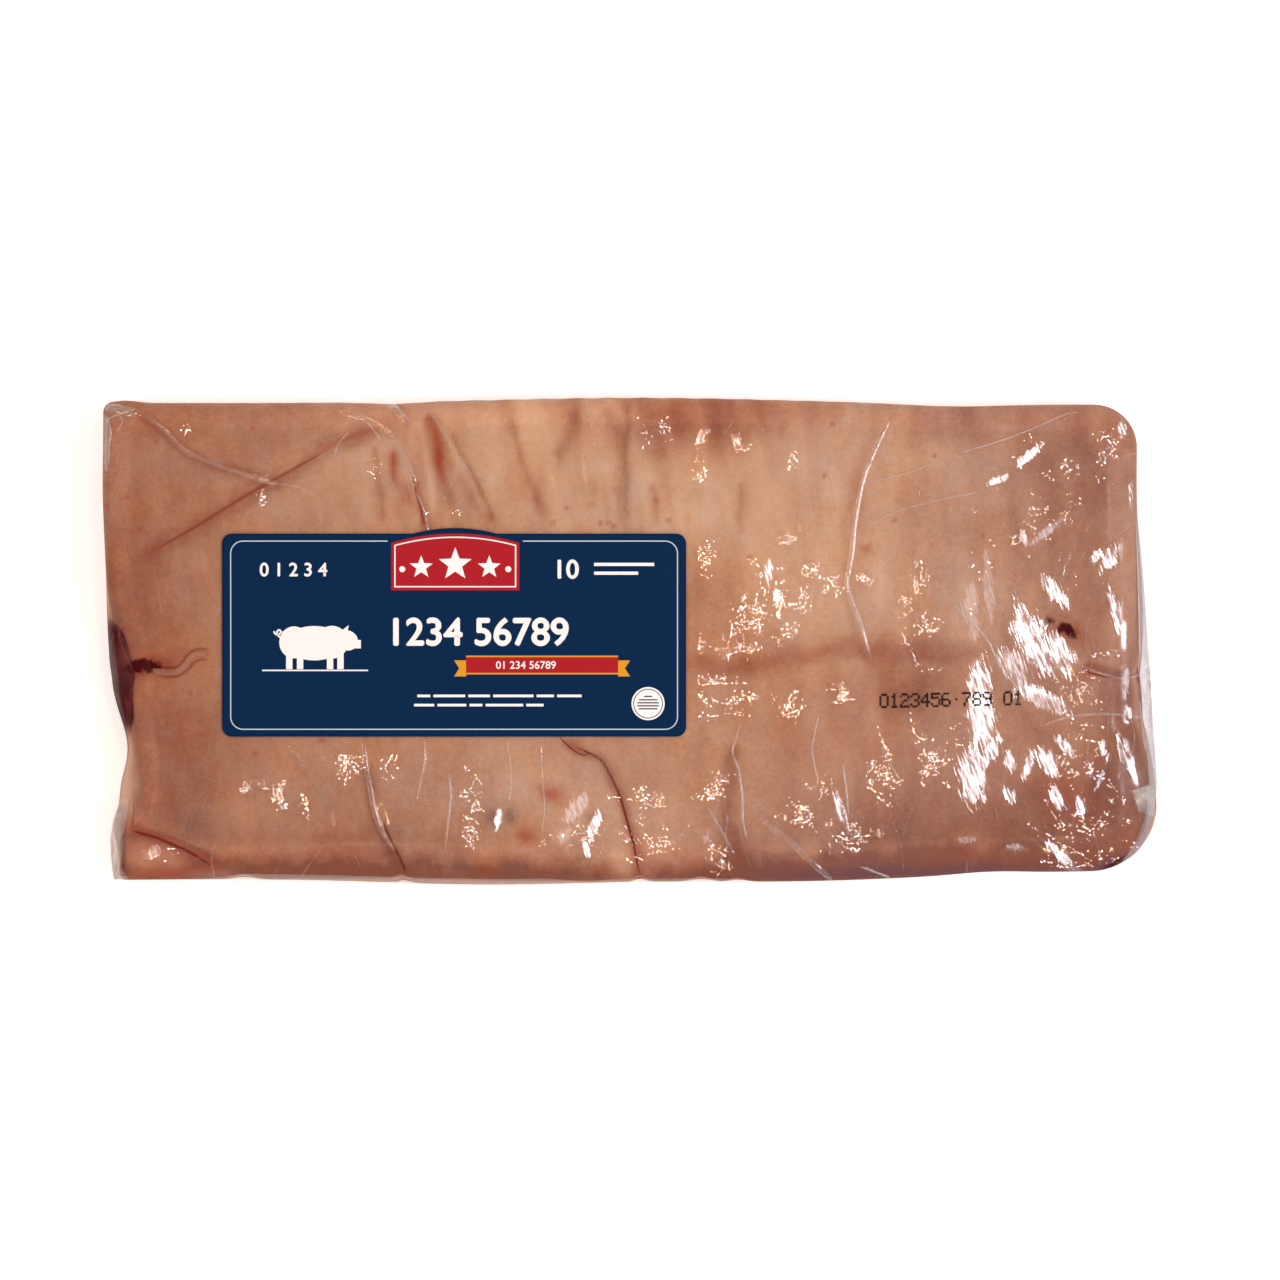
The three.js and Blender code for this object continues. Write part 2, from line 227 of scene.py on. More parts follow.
def trim(x, y, high, insets=()):
    """Moves points of the true rectangle to where the uneven slab has them. high is 1 at the skin."""
    moved_x, moved_y = x.copy(), y.copy()
    for cx, cy, dx, dy, _ in CORNERS:
        share = (1 + cx * x / (LENGTH / 2)) / 2 * (1 + cy * y / (WIDTH / 2)) / 2
        moved_x += dx * share
        moved_y += dy * share
    moves = [(edge, at, half, out, 1) for edge, at, half, out in EDGE_SWELLS]
    moves += [(edge, at, half, -back, high) for edge, at, half, back in TRIMMED_SKIN]
    moves += [(edge, at, half, -back, 1) for edge, at, half, back in insets]
    for edge, at, half, out, share in moves:
        near, place_along = near_edge(edge, x, y)
        push = out * bell(place_along, at, half) * near * share
        moved_x += OUTWARD[edge][0] * push
        moved_y += OUTWARD[edge][1] * push
    return moved_x, moved_y


def base_height(x, y):
    """The skin's smooth height, which the label lies on."""
    z = THICKNESS + TAPER * (y / (WIDTH / 2))
    for length, turn, height, phase in WAVES:
        along = x * math.cos(turn) + y * math.sin(turn)
        z = z + height * np.sin(along / length * 2 * math.pi + phase)
    return z


def under_label(x, y):
    """1 under the label, fading to 0 at LABEL_MARGIN beyond it."""
    out_x = np.abs(x - LABEL["x"]) - LABEL["width"] / 2
    out_y = np.abs(y - LABEL["y"]) - LABEL["height"] / 2 - ARCH["rise"]
    return 1 - smooth(np.maximum(out_x, out_y), 0, LABEL_MARGIN)


def relief(x, y, depth_share=1.0):
    """How far the creases and ribs lift the skin from its smooth height."""
    ribbed = bell(x, RIBS["at"][0], RIBS["half"][0]) * bell(y, RIBS["at"][1], RIBS["half"][1])
    wave = np.sin((x + y * RIBS["lean"]) / RIBS["spacing"] * 2 * math.pi)
    lift = RIBS["height"] * depth_share * ribbed * wave * (1 - under_label(x, y))
    for depth, half, points in CREASES.values():
        distance, share, _ = along_path(spline(points, CREASE_STEPS), x, y, half * CREASE_REACH)
        lift = lift - depth * depth_share * bell(distance, 0, half) * smooth(share, 0, CREASE_START)
    return lift


def flap_drop(x, y):
    """How far the corner flap lies below the skin round it."""
    distance, _, side = along_path(spline(FLAP_CUT, CREASE_STEPS), x, y)
    return FLAP_DROP * smooth(-side * distance, -FLAP_SLOPE / 2, FLAP_SLOPE / 2)


def wrap_sheet(along, across, rings, insets=(), depth_share=1.0):
    """The sheet that wraps the slab, as (i, j) arrays: x, y, z, share of the height, and ring."""
    i, j = np.meshgrid(np.arange(along + 1), np.arange(across + 1), indexing="ij")
    ring = np.minimum.reduce([i, along - i, j, across - j, np.full(i.shape, rings)])
    px = (2 * i - along) / (along - 2 * ring)
    py = (2 * j - across) / (across - 2 * ring)
    px, py = px + CROWDING * np.sin(math.pi * px), py + CROWDING * np.sin(math.pi * py)
    size, dir_x, dir_y = square_rim(px, py)
    ends = np.where(dir_x < 0, SHOULDER["left"], SHOULDER["right"])
    sides = np.where(dir_y < 0, SHOULDER["front"], SHOULDER["back"])
    share = smooth(np.abs(dir_x) - np.abs(dir_y), -CORNER_BLEND, CORNER_BLEND)
    shoulder = ends * share + sides * (1 - share)
    fall = (1 - ring / rings) * math.pi
    out = shoulder * np.abs(np.sin(fall)) ** SIDE_FULLNESS
    level = np.cos(fall)
    high = (1 + np.sign(level) * np.abs(level) ** SIDE_FULLNESS) / 2
    radius = np.zeros(px.shape)
    for cx, cy, _, _, r in reversed(CORNERS):
        radius = np.where((cx * dir_x >= 0) & (cy * dir_y >= 0), r, radius)
    top_radius = np.maximum(radius - shoulder, 2)
    corner = top_radius + (radius - top_radius) * out / shoulder
    corner = np.maximum(corner * smooth(size, ROUNDED_FROM, 1), 1e-6)
    half_x, half_y = size * (LENGTH / 2 - shoulder + out), size * (WIDTH / 2 - shoulder + out)
    x, y, nx, ny = rim_point(dir_x, dir_y, half_x, half_y, corner)
    x, y = trim(x, y, smooth(high, SKIN_FROM, SKIN_FULL), insets)
    lean = np.sin(fall) ** 2
    dent = relief(x, y, depth_share) * smooth(high, 0, DENT_FULL)
    z = (base_height(x, y) - flap_drop(x, y) + dent * (1 - lean)) * high
    return x + nx * dent * lean, y + ny * dent * lean, z, high, ring


# ---------------------------------------------------------------- making meshes
def middle_shift():
    """From the slab's plan to the frame, whose origin is the middle of the base."""
    low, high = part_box("belly_slab")
    x, y, *_ = wrap_sheet(*SOLID_CELLS)
    return (
        (low[0] + high[0]) / 2 / MM - (x.min() + x.max()) / 2,
        (low[1] + high[1]) / 2 / MM - (y.min() + y.max()) / 2,
    )


SHIFT_X, SHIFT_Y = middle_shift()


def place(x, y, z):
    """Plan millimetres to frame metres, as an array of points."""
    return np.stack([(x + SHIFT_X) * MM, (y + SHIFT_Y) * MM, z * MM], -1)


def make_piece(name, points, faces, material, smooth_shaded=True):
    """A piece of the model from an array of points and the faces between them."""
    mesh = bpy.data.meshes.new(name)
    mesh.from_pydata(points.reshape(-1, 3).tolist(), [], [list(f) for f in faces])
    mesh.update()
    mesh.polygons.foreach_set("use_smooth", [smooth_shaded] * len(mesh.polygons))
    mesh.materials.append(material)
    piece = bpy.data.objects.new(name, mesh)
    bpy.context.scene.collection.objects.link(piece)
    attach(piece, "root")
    return piece


def set_attribute(piece, name, values):
    """Paints a quality on the piece's points."""
    attribute = piece.data.attributes.new(name, "FLOAT", "POINT")
    attribute.data.foreach_set("value", np.ascontiguousarray(values, dtype=np.float32).ravel())


def sheet_faces(rows, columns, flip=False):
    """Quads between the points of a rows by columns array."""
    i, j = np.meshgrid(np.arange(rows - 1), np.arange(columns - 1), indexing="ij")
    a = (i * columns + j).ravel()
    quads = np.stack([a, a + columns, a + columns + 1, a + 1], -1)
    return (quads[:, ::-1] if flip else quads).tolist()


def rim_loop(rows, columns):
    """The counts of an array's rim points, anticlockwise from above."""
    low = [i * columns for i in range(rows - 1)]
    right = [(rows - 1) * columns + j for j in range(columns - 1)]
    top = [i * columns + columns - 1 for i in range(rows - 1, 0, -1)]
    left = [j for j in range(columns - 1, 0, -1)]
    return low + right + top + left


# ---------------------------------------------------------------- materials
TIMES, TIMES_PLUS, LESS = [{"operation": how} for how in ("MULTIPLY", "MULTIPLY_ADD", "SUBTRACT")]
OF_COLOURS, EASED = {"data_type": "RGBA"}, {"interpolation_type": "SMOOTHSTEP"}


def linear(hex_colour):
    """An sRGB hex colour as linear red, green, blue and alpha."""
    parts = [int(hex_colour[k:k + 2], 16) / 255 for k in (1, 3, 5)]
    return [c / 12.92 if c <= 0.04045 else ((c + 0.055) / 1.055) ** 2.4 for c in parts] + [1.0]


def add(tree, kind, settings=None, out=0, **inputs):
    """Adds a node and gives one of its outputs. settings are the node's own values, or a ramp's stops.
    inputs are values or outputs, by the socket's name with _ for a space, or by _ and its count."""
    node = tree.nodes.new("ShaderNode" + kind)
    for key, value in (settings or {}).items():
        if key != "stops":
            setattr(node, key, value)
            continue
        elements = node.color_ramp.elements
        while len(elements) < len(value):
            elements.new(0.5)
        for element, (at, colour) in zip(elements, value):
            element.position, element.color = at, linear(colour)
    for key, value in inputs.items():
        socket = node.inputs[int(key[1:])] if key[0] == "_" else node.inputs[key.replace("_", " ")]
        if isinstance(value, bpy.types.NodeSocket):
            tree.links.new(value, socket)
        else:
            socket.default_value = value
    return node.outputs[out] if node.outputs else None


def new_material(name):
    """A material with an empty tree."""
    material = bpy.data.materials.new(name)
    material.use_nodes = True
    material.node_tree.nodes.clear()
    return material, material.node_tree


def grain(tree, where, sizes_mm, detail=2.0, turn=0.0, out="Fac"):
    """A pattern whose features are about sizes_mm wide along x, y and z, turned about z by degrees."""
    sizes = sizes_mm if isinstance(sizes_mm, tuple) else (sizes_mm,) * 3
    mapped = add(
        tree, "Mapping", {"vector_type": "TEXTURE"},
        Vector=where, Rotation=(0, 0, math.radians(turn)), Scale=[s * MM for s in sizes],
    )
    return add(tree, "TexNoise", out=out, Vector=mapped, Scale=1.0, Detail=detail)


def varied(tree, value, pattern, amount):
    """A value that a pattern moves up and down, by up to half the amount."""
    swing = add(tree, "Math", LESS, _0=pattern, _1=0.5)
    return add(tree, "Math", TIMES_PLUS, _0=swing, _1=amount, _2=value)


# What is painted on the points of the belly and of the film.
ON_BELLY = ("tone", "cool", "flush", "ochre", "bruise", "pale", "blood", "high", "bare_lean", "cut_side")
ON_FILM = ("ripple", "pane", "calm", "veil")

# Skin colours by tone: its low end gives the skin's own darker patches and also the painted shade along
# edges and in creases.
SKIN_WARM = [(0.0, "#804b38"), (0.25, "#9a624a"), (0.5, "#b17d60"), (0.75, "#c69777"), (1.0, "#d5ab8b")]
SKIN_COOL = [(0.0, "#7b5046"), (0.25, "#95695a"), (0.5, "#ad8572"), (0.75, "#c29f8a"), (1.0, "#d1b4a0")]
# The bruise tint also paints shade along the front edge, and the pale tint highlights on the pleats'
# ridges.
SKIN_TINTS = [("flush", "#a04a34"), ("ochre", "#9a6a35"), ("bruise", "#6b4548"), ("pale", "#d0a88f")]
CLOT = "#42080a"

# Mottling of the skin, from broad blotches down to its grain: size, detail, how strong.
TONE_MOTTLE = [(38, 3, 0.36), ((8, 16, 12), 3, 0.27), (3, 2, 0.2), (1.2, 1, 0.2)]
HUE_MOTTLE = [(24, 2, 1.8), (5, 2, 0.9)]

# Fat and lean in the cut side, by share of the height, and how unevenly they lie.
CUT_LAYERS = [
    (0.0, "#b98d7c"), (0.10, "#8a4740"), (0.22, "#94504a"), (0.27, "#d9b8a4"), (0.33, "#dcbba6"),
    (0.37, "#8d443f"), (0.50, "#9b524a"), (0.55, "#c79985"), (0.66, "#c2937c"), (0.74, "#b58069"),
]
LAYER_MOTTLE = [((45, 45, 18), 3, 0.22), ((15, 15, 4), 3, 0.10)]
BARE_LEAN_MARBLING = [(0.3, "#2c070a"), (0.5, "#47090e"), (0.62, "#5a141a"), (0.74, "#7e3a38")]


def pork_skin():
    """Raw pork rind, scalded and shaved: soft pink and tan blotches over fat, matt under its own film.
    Below the rind, the knife's cut shows layers of pale fat and dull red lean."""
    material, tree = new_material("pork rind, scalded and shaved")
    where = add(tree, "TexCoord", out="Object")
    painted = {
        name: add(tree, "Attribute", {"attribute_name": name}, out="Fac") for name in ON_BELLY
    }
    mottled = {"tone": painted["tone"], "cool": painted["cool"], "high": painted["high"]}
    for quality, mottle in (("tone", TONE_MOTTLE), ("cool", HUE_MOTTLE), ("high", LAYER_MOTTLE)):
        for size, detail, amount in mottle:
            pattern = grain(tree, where, size, detail)
            mottled[quality] = varied(tree, mottled[quality], pattern, amount)
    # Tone gives the lightness: the skin's own, with painted shade along edges and in creases.
    warm = add(tree, "ValToRGB", {"stops": SKIN_WARM}, Fac=mottled["tone"])
    cool = add(tree, "ValToRGB", {"stops": SKIN_COOL}, Fac=mottled["tone"])
    skin = add(tree, "Mix", OF_COLOURS, out=2, _0=mottled["cool"], _6=warm, _7=cool)

    # The cut side: the height share, unevenly, picks fat or lean.
    layers = add(tree, "ValToRGB", {"stops": CUT_LAYERS}, Fac=mottled["high"])
    marbling = grain(tree, where, (7, 7, 3.5), 4)
    lean = add(tree, "ValToRGB", {"stops": BARE_LEAN_MARBLING}, Fac=marbling)
    side = add(tree, "Mix", OF_COLOURS, out=2, _0=painted["bare_lean"], _6=layers, _7=lean)
    colour = add(tree, "Mix", OF_COLOURS, out=2, _0=painted["cut_side"], _6=skin, _7=side)
    # These tints include painted shade along the front edge and painted highlights on pleat ridges.
    for quality, tint in SKIN_TINTS:
        colour = add(tree, "Mix", OF_COLOURS, out=2, _0=painted[quality], _6=colour, _7=linear(tint))

    # Blood lies where it has pooled, with a ragged edge where it clots.
    wet = varied(tree, painted["blood"], grain(tree, where, 2.4), 0.8)
    clot = add(tree, "MapRange", EASED, _0=wet, _1=0.2, _2=0.8)
    colour = add(tree, "Mix", OF_COLOURS, out=2, _0=clot, _6=colour, _7=linear(CLOT))

    # Pores and hair roots are 0.3 mm wide, and drawn at 1.4 mm so that they show.
    pores = grain(tree, where, 1.4)
    rough = add(tree, "Bump", Strength=0.3, Distance=0.6 * MM, Height=pores)
    body = add(
        tree, "BsdfPrincipled",
        Base_Color=colour, Roughness=0.5, Specular_IOR_Level=0.0, Normal=rough,
    )
    add(tree, "OutputMaterial", Surface=body)
    return material


FILM_HAZE, FILM_ROUGHNESS = "#d3c3ba", 0.07
FILM_GAIN, FILM_MOST = 1.9, 0.12  # how many faces' worth the film mirrors, and the most it ever does


def film_surface(
    tree, normal, veil, haze=FILM_HAZE, roughness=FILM_ROUGHNESS, gain=FILM_GAIN, most=FILM_MOST,
):
    """Clear glossy film: both of its faces reflect, and a veil of haze hides what lies under it."""
    sharp = add(tree, "BsdfAnisotropic", Roughness=roughness, Normal=normal)
    broad = add(tree, "BsdfAnisotropic", Roughness=0.3, Normal=normal)
    gloss = add(tree, "MixShader", Fac=0.05, _1=sharp, _2=broad)
    clear = add(tree, "BsdfTransparent")
    milk = add(tree, "BsdfDiffuse", Color=linear(haze))
    under = add(tree, "MixShader", Fac=veil, _1=clear, _2=milk)
    fresnel = add(tree, "Fresnel", IOR=1.5, Normal=normal)
    shine = add(tree, "Math", TIMES, _0=fresnel, _1=gain)
    shine = add(tree, "Math", {"operation": "MINIMUM"}, _0=shine, _1=most)
    both = add(tree, "MixShader", Fac=shine, _1=under, _2=gloss)
    add(tree, "OutputMaterial", Surface=both)


# Patterns within the film's flat panes: sizes of their streaks, facets and fine lines, and their turn.
# Real ones go down to 0.1 mm, and are drawn no finer than 0.7 mm, so that they show.
PANE_STREAKS, PANE_FACETS, PANE_LINES, PANE_TURN = (0.8, 9, 6), (2.2, 12, 6), (0.7, 5, 5), 18
PANE_UNEVEN = (0.3, 0.45, 0.0)


def clear_film():
    """Shrink film, 0.05 mm, drawn tight by vacuum and heat: clear and very glossy. Its ripples and its
    flat streaky panes break the window's reflection into white feathers."""
    material, tree = new_material("clear shrink film, drawn tight")
    where = add(tree, "TexCoord", out="Object")
    painted = {
        name: add(tree, "Attribute", {"attribute_name": name}, out="Fac") for name in ON_FILM
    }
    swell = add(tree, "Math", TIMES, _0=grain(tree, where, (7, 16, 10), 1, -12), _1=0.5)
    fine = grain(tree, where, (2.6, 5, 4), 1, -15)
    height = add(tree, "Math", TIMES_PLUS, _0=fine, _1=0.11, _2=swell)
    height = add(tree, "Math", TIMES, _0=height, _1=painted["ripple"])
    rippled = add(tree, "Bump", Strength=1.0, Distance=MM, Height=height)

    # A pane faces one way, but for its streaks, and its edge is feathered by them.
    streaks = grain(tree, where, PANE_STREAKS, 3, PANE_TURN)
    in_pane = varied(tree, painted["pane"], streaks, 1.6)
    in_pane = add(tree, "MapRange", EASED, _0=in_pane, _1=0.42, _2=0.6)
    facets = grain(tree, where, PANE_FACETS, 2, PANE_TURN, out="Color")
    uneven = add(tree, "VectorMath", LESS, _0=facets, _1=(0.5, 0.5, 0.5))
    facing_window = add(tree, "Attribute", {"attribute_name": "facing"}, out="Vector")
    flat = add(tree, "VectorMath", TIMES_PLUS, _0=uneven, _1=PANE_UNEVEN, _2=facing_window)
    normal = add(tree, "Mix", {"data_type": "VECTOR"}, out=1, _0=in_pane, _4=rippled, _5=flat)
    normal = add(tree, "VectorMath", {"operation": "NORMALIZE"}, _0=normal)

    # Calm film is rougher and mirrors less. Fine lines let the meat show through a pane.
    calm = painted["calm"]
    roughness = add(tree, "Math", TIMES, _0=calm, _1=calm)
    roughness = add(tree, "Math", TIMES_PLUS, _0=roughness, _1=0.4, _2=FILM_ROUGHNESS)
    roughness = add(tree, "Math", TIMES_PLUS, _0=in_pane, _1=0.1, _2=roughness)
    lines = grain(tree, where, PANE_LINES, 3, PANE_TURN)
    lines = add(tree, "MapRange", _0=lines, _1=0.33, _2=0.56, _3=0.8, _4=-0.5)
    lines = add(tree, "Math", TIMES, _0=lines, _1=in_pane)
    gain = add(tree, "Math", TIMES_PLUS, _0=calm, _1=-1.8, _2=FILM_GAIN)
    gain = add(tree, "Math", TIMES, _0=gain, _1=add(tree, "Math", LESS, _0=1.0, _1=lines))
    most = add(tree, "Math", TIMES_PLUS, _0=calm, _1=-0.105, _2=FILM_MOST)
    broken = varied(tree, 1.0, grain(tree, where, (3, 14, 6), 3, -15), 0.5)
    veil = add(tree, "Math", TIMES, _0=painted["veil"], _1=broken)
    film_surface(tree, normal, veil, roughness=roughness, gain=gain, most=most)
    return material


def flat_film():
    """Shrink film, crinkled by the heat into small flat facets: each is a mirror of what it faces, so
    that a few flash white or warm and the rest stay clear."""
    material, tree = new_material("clear shrink film, crinkled into facets")
    normal = add(tree, "NewGeometry", out="Normal")
    film_surface(tree, normal, 0.0, roughness=0.05, gain=2.8, most=0.16)
    return material


def folded_film(name, haze="#e6dcda"):
    """Film gathered double: its edges and folds show as pale glossy lines, and along folds their haze is
    partly painted highlight.
    """
    material, tree = new_material(name)
    where = add(tree, "TexCoord", out="Object")
    bumped = add(tree, "Bump", Strength=0.6, Distance=0.3 * MM, Height=grain(tree, where, 1.4, 3))
    broken = varied(tree, 1.0, grain(tree, where, 4, 3), 1.2)
    painted = add(tree, "Attribute", {"attribute_name": "veil"}, out="Fac")
    veil = add(tree, "Math", TIMES, _0=painted, _1=broken)
    film_surface(tree, bumped, veil, haze, roughness=0.12)
    return material


def tinted(name, hex_colour, roughness=0.4):
    """A thin coloured layer, nearly without shine: it fades out where its painted veil does, so that its
    edges look soaked in."""
    material, tree = new_material(name)
    body = add(
        tree, "BsdfPrincipled",
        Base_Color=linear(hex_colour), Roughness=roughness, Specular_IOR_Level=0.1,
    )
    clear = add(tree, "BsdfTransparent")
    veil = add(tree, "Attribute", {"attribute_name": "veil"}, out="Fac")
    mixed = add(tree, "MixShader", Fac=veil, _1=clear, _2=body)
    add(tree, "OutputMaterial", Surface=mixed)
    return material


def printed_ink(name, hex_colour):
    """Offset ink on coated paper: one flat even colour with a faint sheen."""
    material, tree = new_material(name)
    body = add(
        tree, "BsdfPrincipled",
        Base_Color=linear(hex_colour), Roughness=0.55, Specular_IOR_Level=0.02,
    )
    add(tree, "OutputMaterial", Surface=body)
    return material


# ---------------------------------------------------------------- what shows in the skin
BASE_TONE, BASE_COOL = 0.5, 0.25  # where no patch lies

# Patches, by quality: middle, half lengths, turn in degrees, how strong.
PATCHES = {
    # Rows that darken the tone along the edges, the front edge most, and in the pleats are painted shade;
    # the rest is the skin's own uneven tone.
    "tone": [
        ((-20, 92), (75, 42), 0, 0.32), ((85, 45), (78, 60), 0, 0.32), ((-15, -80), (65, 28), 0, 0.2),
        ((-263, 20), (38, 125), 0, -0.2), ((-120, 90), (60, 60), 0, 0.1), ((24, 108), (34, 18), 0, -0.5),
        ((52, 112), (12, 12), 0, -0.2), ((230, 75), (32, 55), 0, -0.2), ((240, -90), (40, 36), 0, -0.3),
        ((160, -100), (70, 26), 0, -0.34), ((135, -121), (165, 10.5), 0, -1.05),
        ((-150, -118), (130, 8), 0, -0.6), ((137, -25), (15, 14), 0, -0.28),
        ((165, 108), (40, 12), 0, -0.22), ((-262, -5), (14, 30), 0, -0.3),
        ((-235, -65), (48, 42), 0, -0.2), ((-194, -84), (18, 12), 0, 0.1),
        ((-195, 112), (70, 14), 0, -0.14), ((-130, -104), (45, 14), 0, -0.2),
        ((248, -85), (16, 42), 0, -0.45), ((250, -25), (14, 36), 0, -0.24),
        ((160, -116), (75, 7), 0, -0.52), ((222, -112), (26, 8), 0, -0.55),
        ((243, -111), (13, 5), 24, -0.9), ((0, -116), (16, 7), 0, 0.5), ((-240, -112), (18, 9), 0, 0.14),
        ((-138, 92), (28, 14), 0, 0.14), ((85, 114), (26, 9), 0, -0.22), ((-110, -52), (80, 16), 0, 0.1),
        ((130, 100), (50, 20), 0, 0.15), ((20, 20), (40, 30), 0, -0.15), ((-80, 70), (4, 14), -20, -0.14),
        ((-46, 72), (4, 16), -8, -0.18), ((-35, 92), (3, 8), 0, -0.3), ((-27, 112), (3, 8), 0, -0.3),
    ],
    "flush": [
        ((24, 110), (24, 12), 0, 0.18), ((-241, -12), (11, 5.5), -8, 0.8),
        ((-224, -11), (16, 8), 20, 0.3), ((-115, 108), (18, 8), 0, 0.22), ((-240, -105), (16, 8), 0, 0.3),
        ((150, -70), (60, 30), 0, 0.1), ((219, 4.5), (10, 5), -22, 0.6), ((118, 45.5), (3.4, 3), 0, 0.55),
        ((-96, 91), (2.6, 8), 4, 0.6), ((-104, 98), (6, 12), 10, 0.2), ((-109, 86), (4, 14), -5, 0.3),
        ((230, -17), (7, 4), 0, 0.5), ((-40, -77), (7, 4), -30, 0.7), ((-52, -98), (6, 5), -40, 0.75),
        ((-219, -48), (14, 3), 4, 0.25), ((-154, -50), (3, 2), 20, 0.6), ((38, -93), (4, 3), 0, 0.3),
        ((-228, -117), (20, 2.4), 0, 0.8), ((-254, -90), (8, 6), -30, 0.7),
        ((222, -84), (14, 12), 0, 0.22), ((250, -103), (8, 8), 0, 0.35),
    ],
    "cool": [
        ((215, 60), (95, 110), 0, 0.55), ((-240, -80), (50, 40), 0, 0.08), ((200, -45), (70, 50), 0, 0.4),
        ((-60, -90), (130, 34), 0, 0.4), ((110, -90), (80, 30), 0, 0.4), ((-10, 60), (60, 30), 0, 0.25),
    ],
    "blood": [
        ((-242, -12.5), (8, 3.4), -8, 1.15), ((-250, -15), (5, 2.4), 10, 0.7),
        ((219, 4.5), (6, 3), -28, 1.1), ((210, 9.5), (3, 1.8), -40, 0.7),
        ((243, -112.5), (10, 2.6), 26, 0.85),
    ],
    # Bruises; the long thin rows along the front edge are painted shade where it curves down.
    "bruise": [
        ((-69, -88.5), (4, 5), 0, 0.6), ((-60, -88), (3, 4), 0, 0.6), ((-19, -88), (5, 3), 0, 0.4),
        ((-216, -94), (9, 7), -20, 0.3), ((-252, -10), (6, 12), 0, 0.3), ((95, -119), (34, 4), 0, 0.5),
        ((165, -119), (60, 6), 0, 0.5), ((241, -111.5), (12, 3), 24, 1.0),
        ((150, -115.5), (80, 4.2), 0, 0.6), ((-222, -122), (40, 3), 0, 0.4),
    ],
    "ochre": [
        ((-19, 76), (6, 5), 0, 0.4), ((-6, 75), (4, 4), 0, 0.3), ((33, 73), (6, 6), 0, 0.25),
        ((-85, 96), (6, 14), 0, 0.25), ((-20, 68), (3, 2), 0, 0.4), ((-107, 100), (5, 5), 0, 0.3),
        ((236, -52), (12, 14), 0, 0.2),
    ],
    # Pale fat showing through; the rows among the pleats, from x -121 to -88, are painted highlights on
    # their ridges.
    "pale": [
        ((-253, -75), (5, 18), 0, 0.7), ((-108, 99), (3, 8), 8, 0.55), ((-113, 84), (3, 12), -14, 0.4),
        ((-100, 76), (2.4, 12), 6, 0.4), ((-88, 84), (3, 12), -32, 0.35), ((-121, 99), (5, 4), 0, 0.3),
        ((-237, -108), (16, 7), 0, 0.2), ((70, 75), (24, 26), 0, 0.25), ((-40, 85), (20, 26), 0, 0.2),
        ((-152, 70), (10, 18), 15, 0.12),
    ],
}
PATCH_GIVE = 0.35  # a patch's edge wanders by this share of its half width
MOST_GIVE = 7

# Small dark marks and hair stubs: their middles.
SPOTS = [
    (-237, 99.5), (-252, 71.5), (-245, 55), (-189, 106), (-155, 97.5), (-15, 58.5), (-8, 57), (-11, 58.5),
    (-39, 58.5), (-32, 66), (-220, -26.5), (-232, -42), (-246, -64), (-262, 67), (13, 70), (19, 60),
    (24, 44), (137, -23), (101, 108), (152, 92), (176, 52), (97, 82), (-188, -57), (-176, 78), (60, 42),
    (132, 60),
]
SPOT_HALF, SPOT_FLUSH = 1.1, 0.8

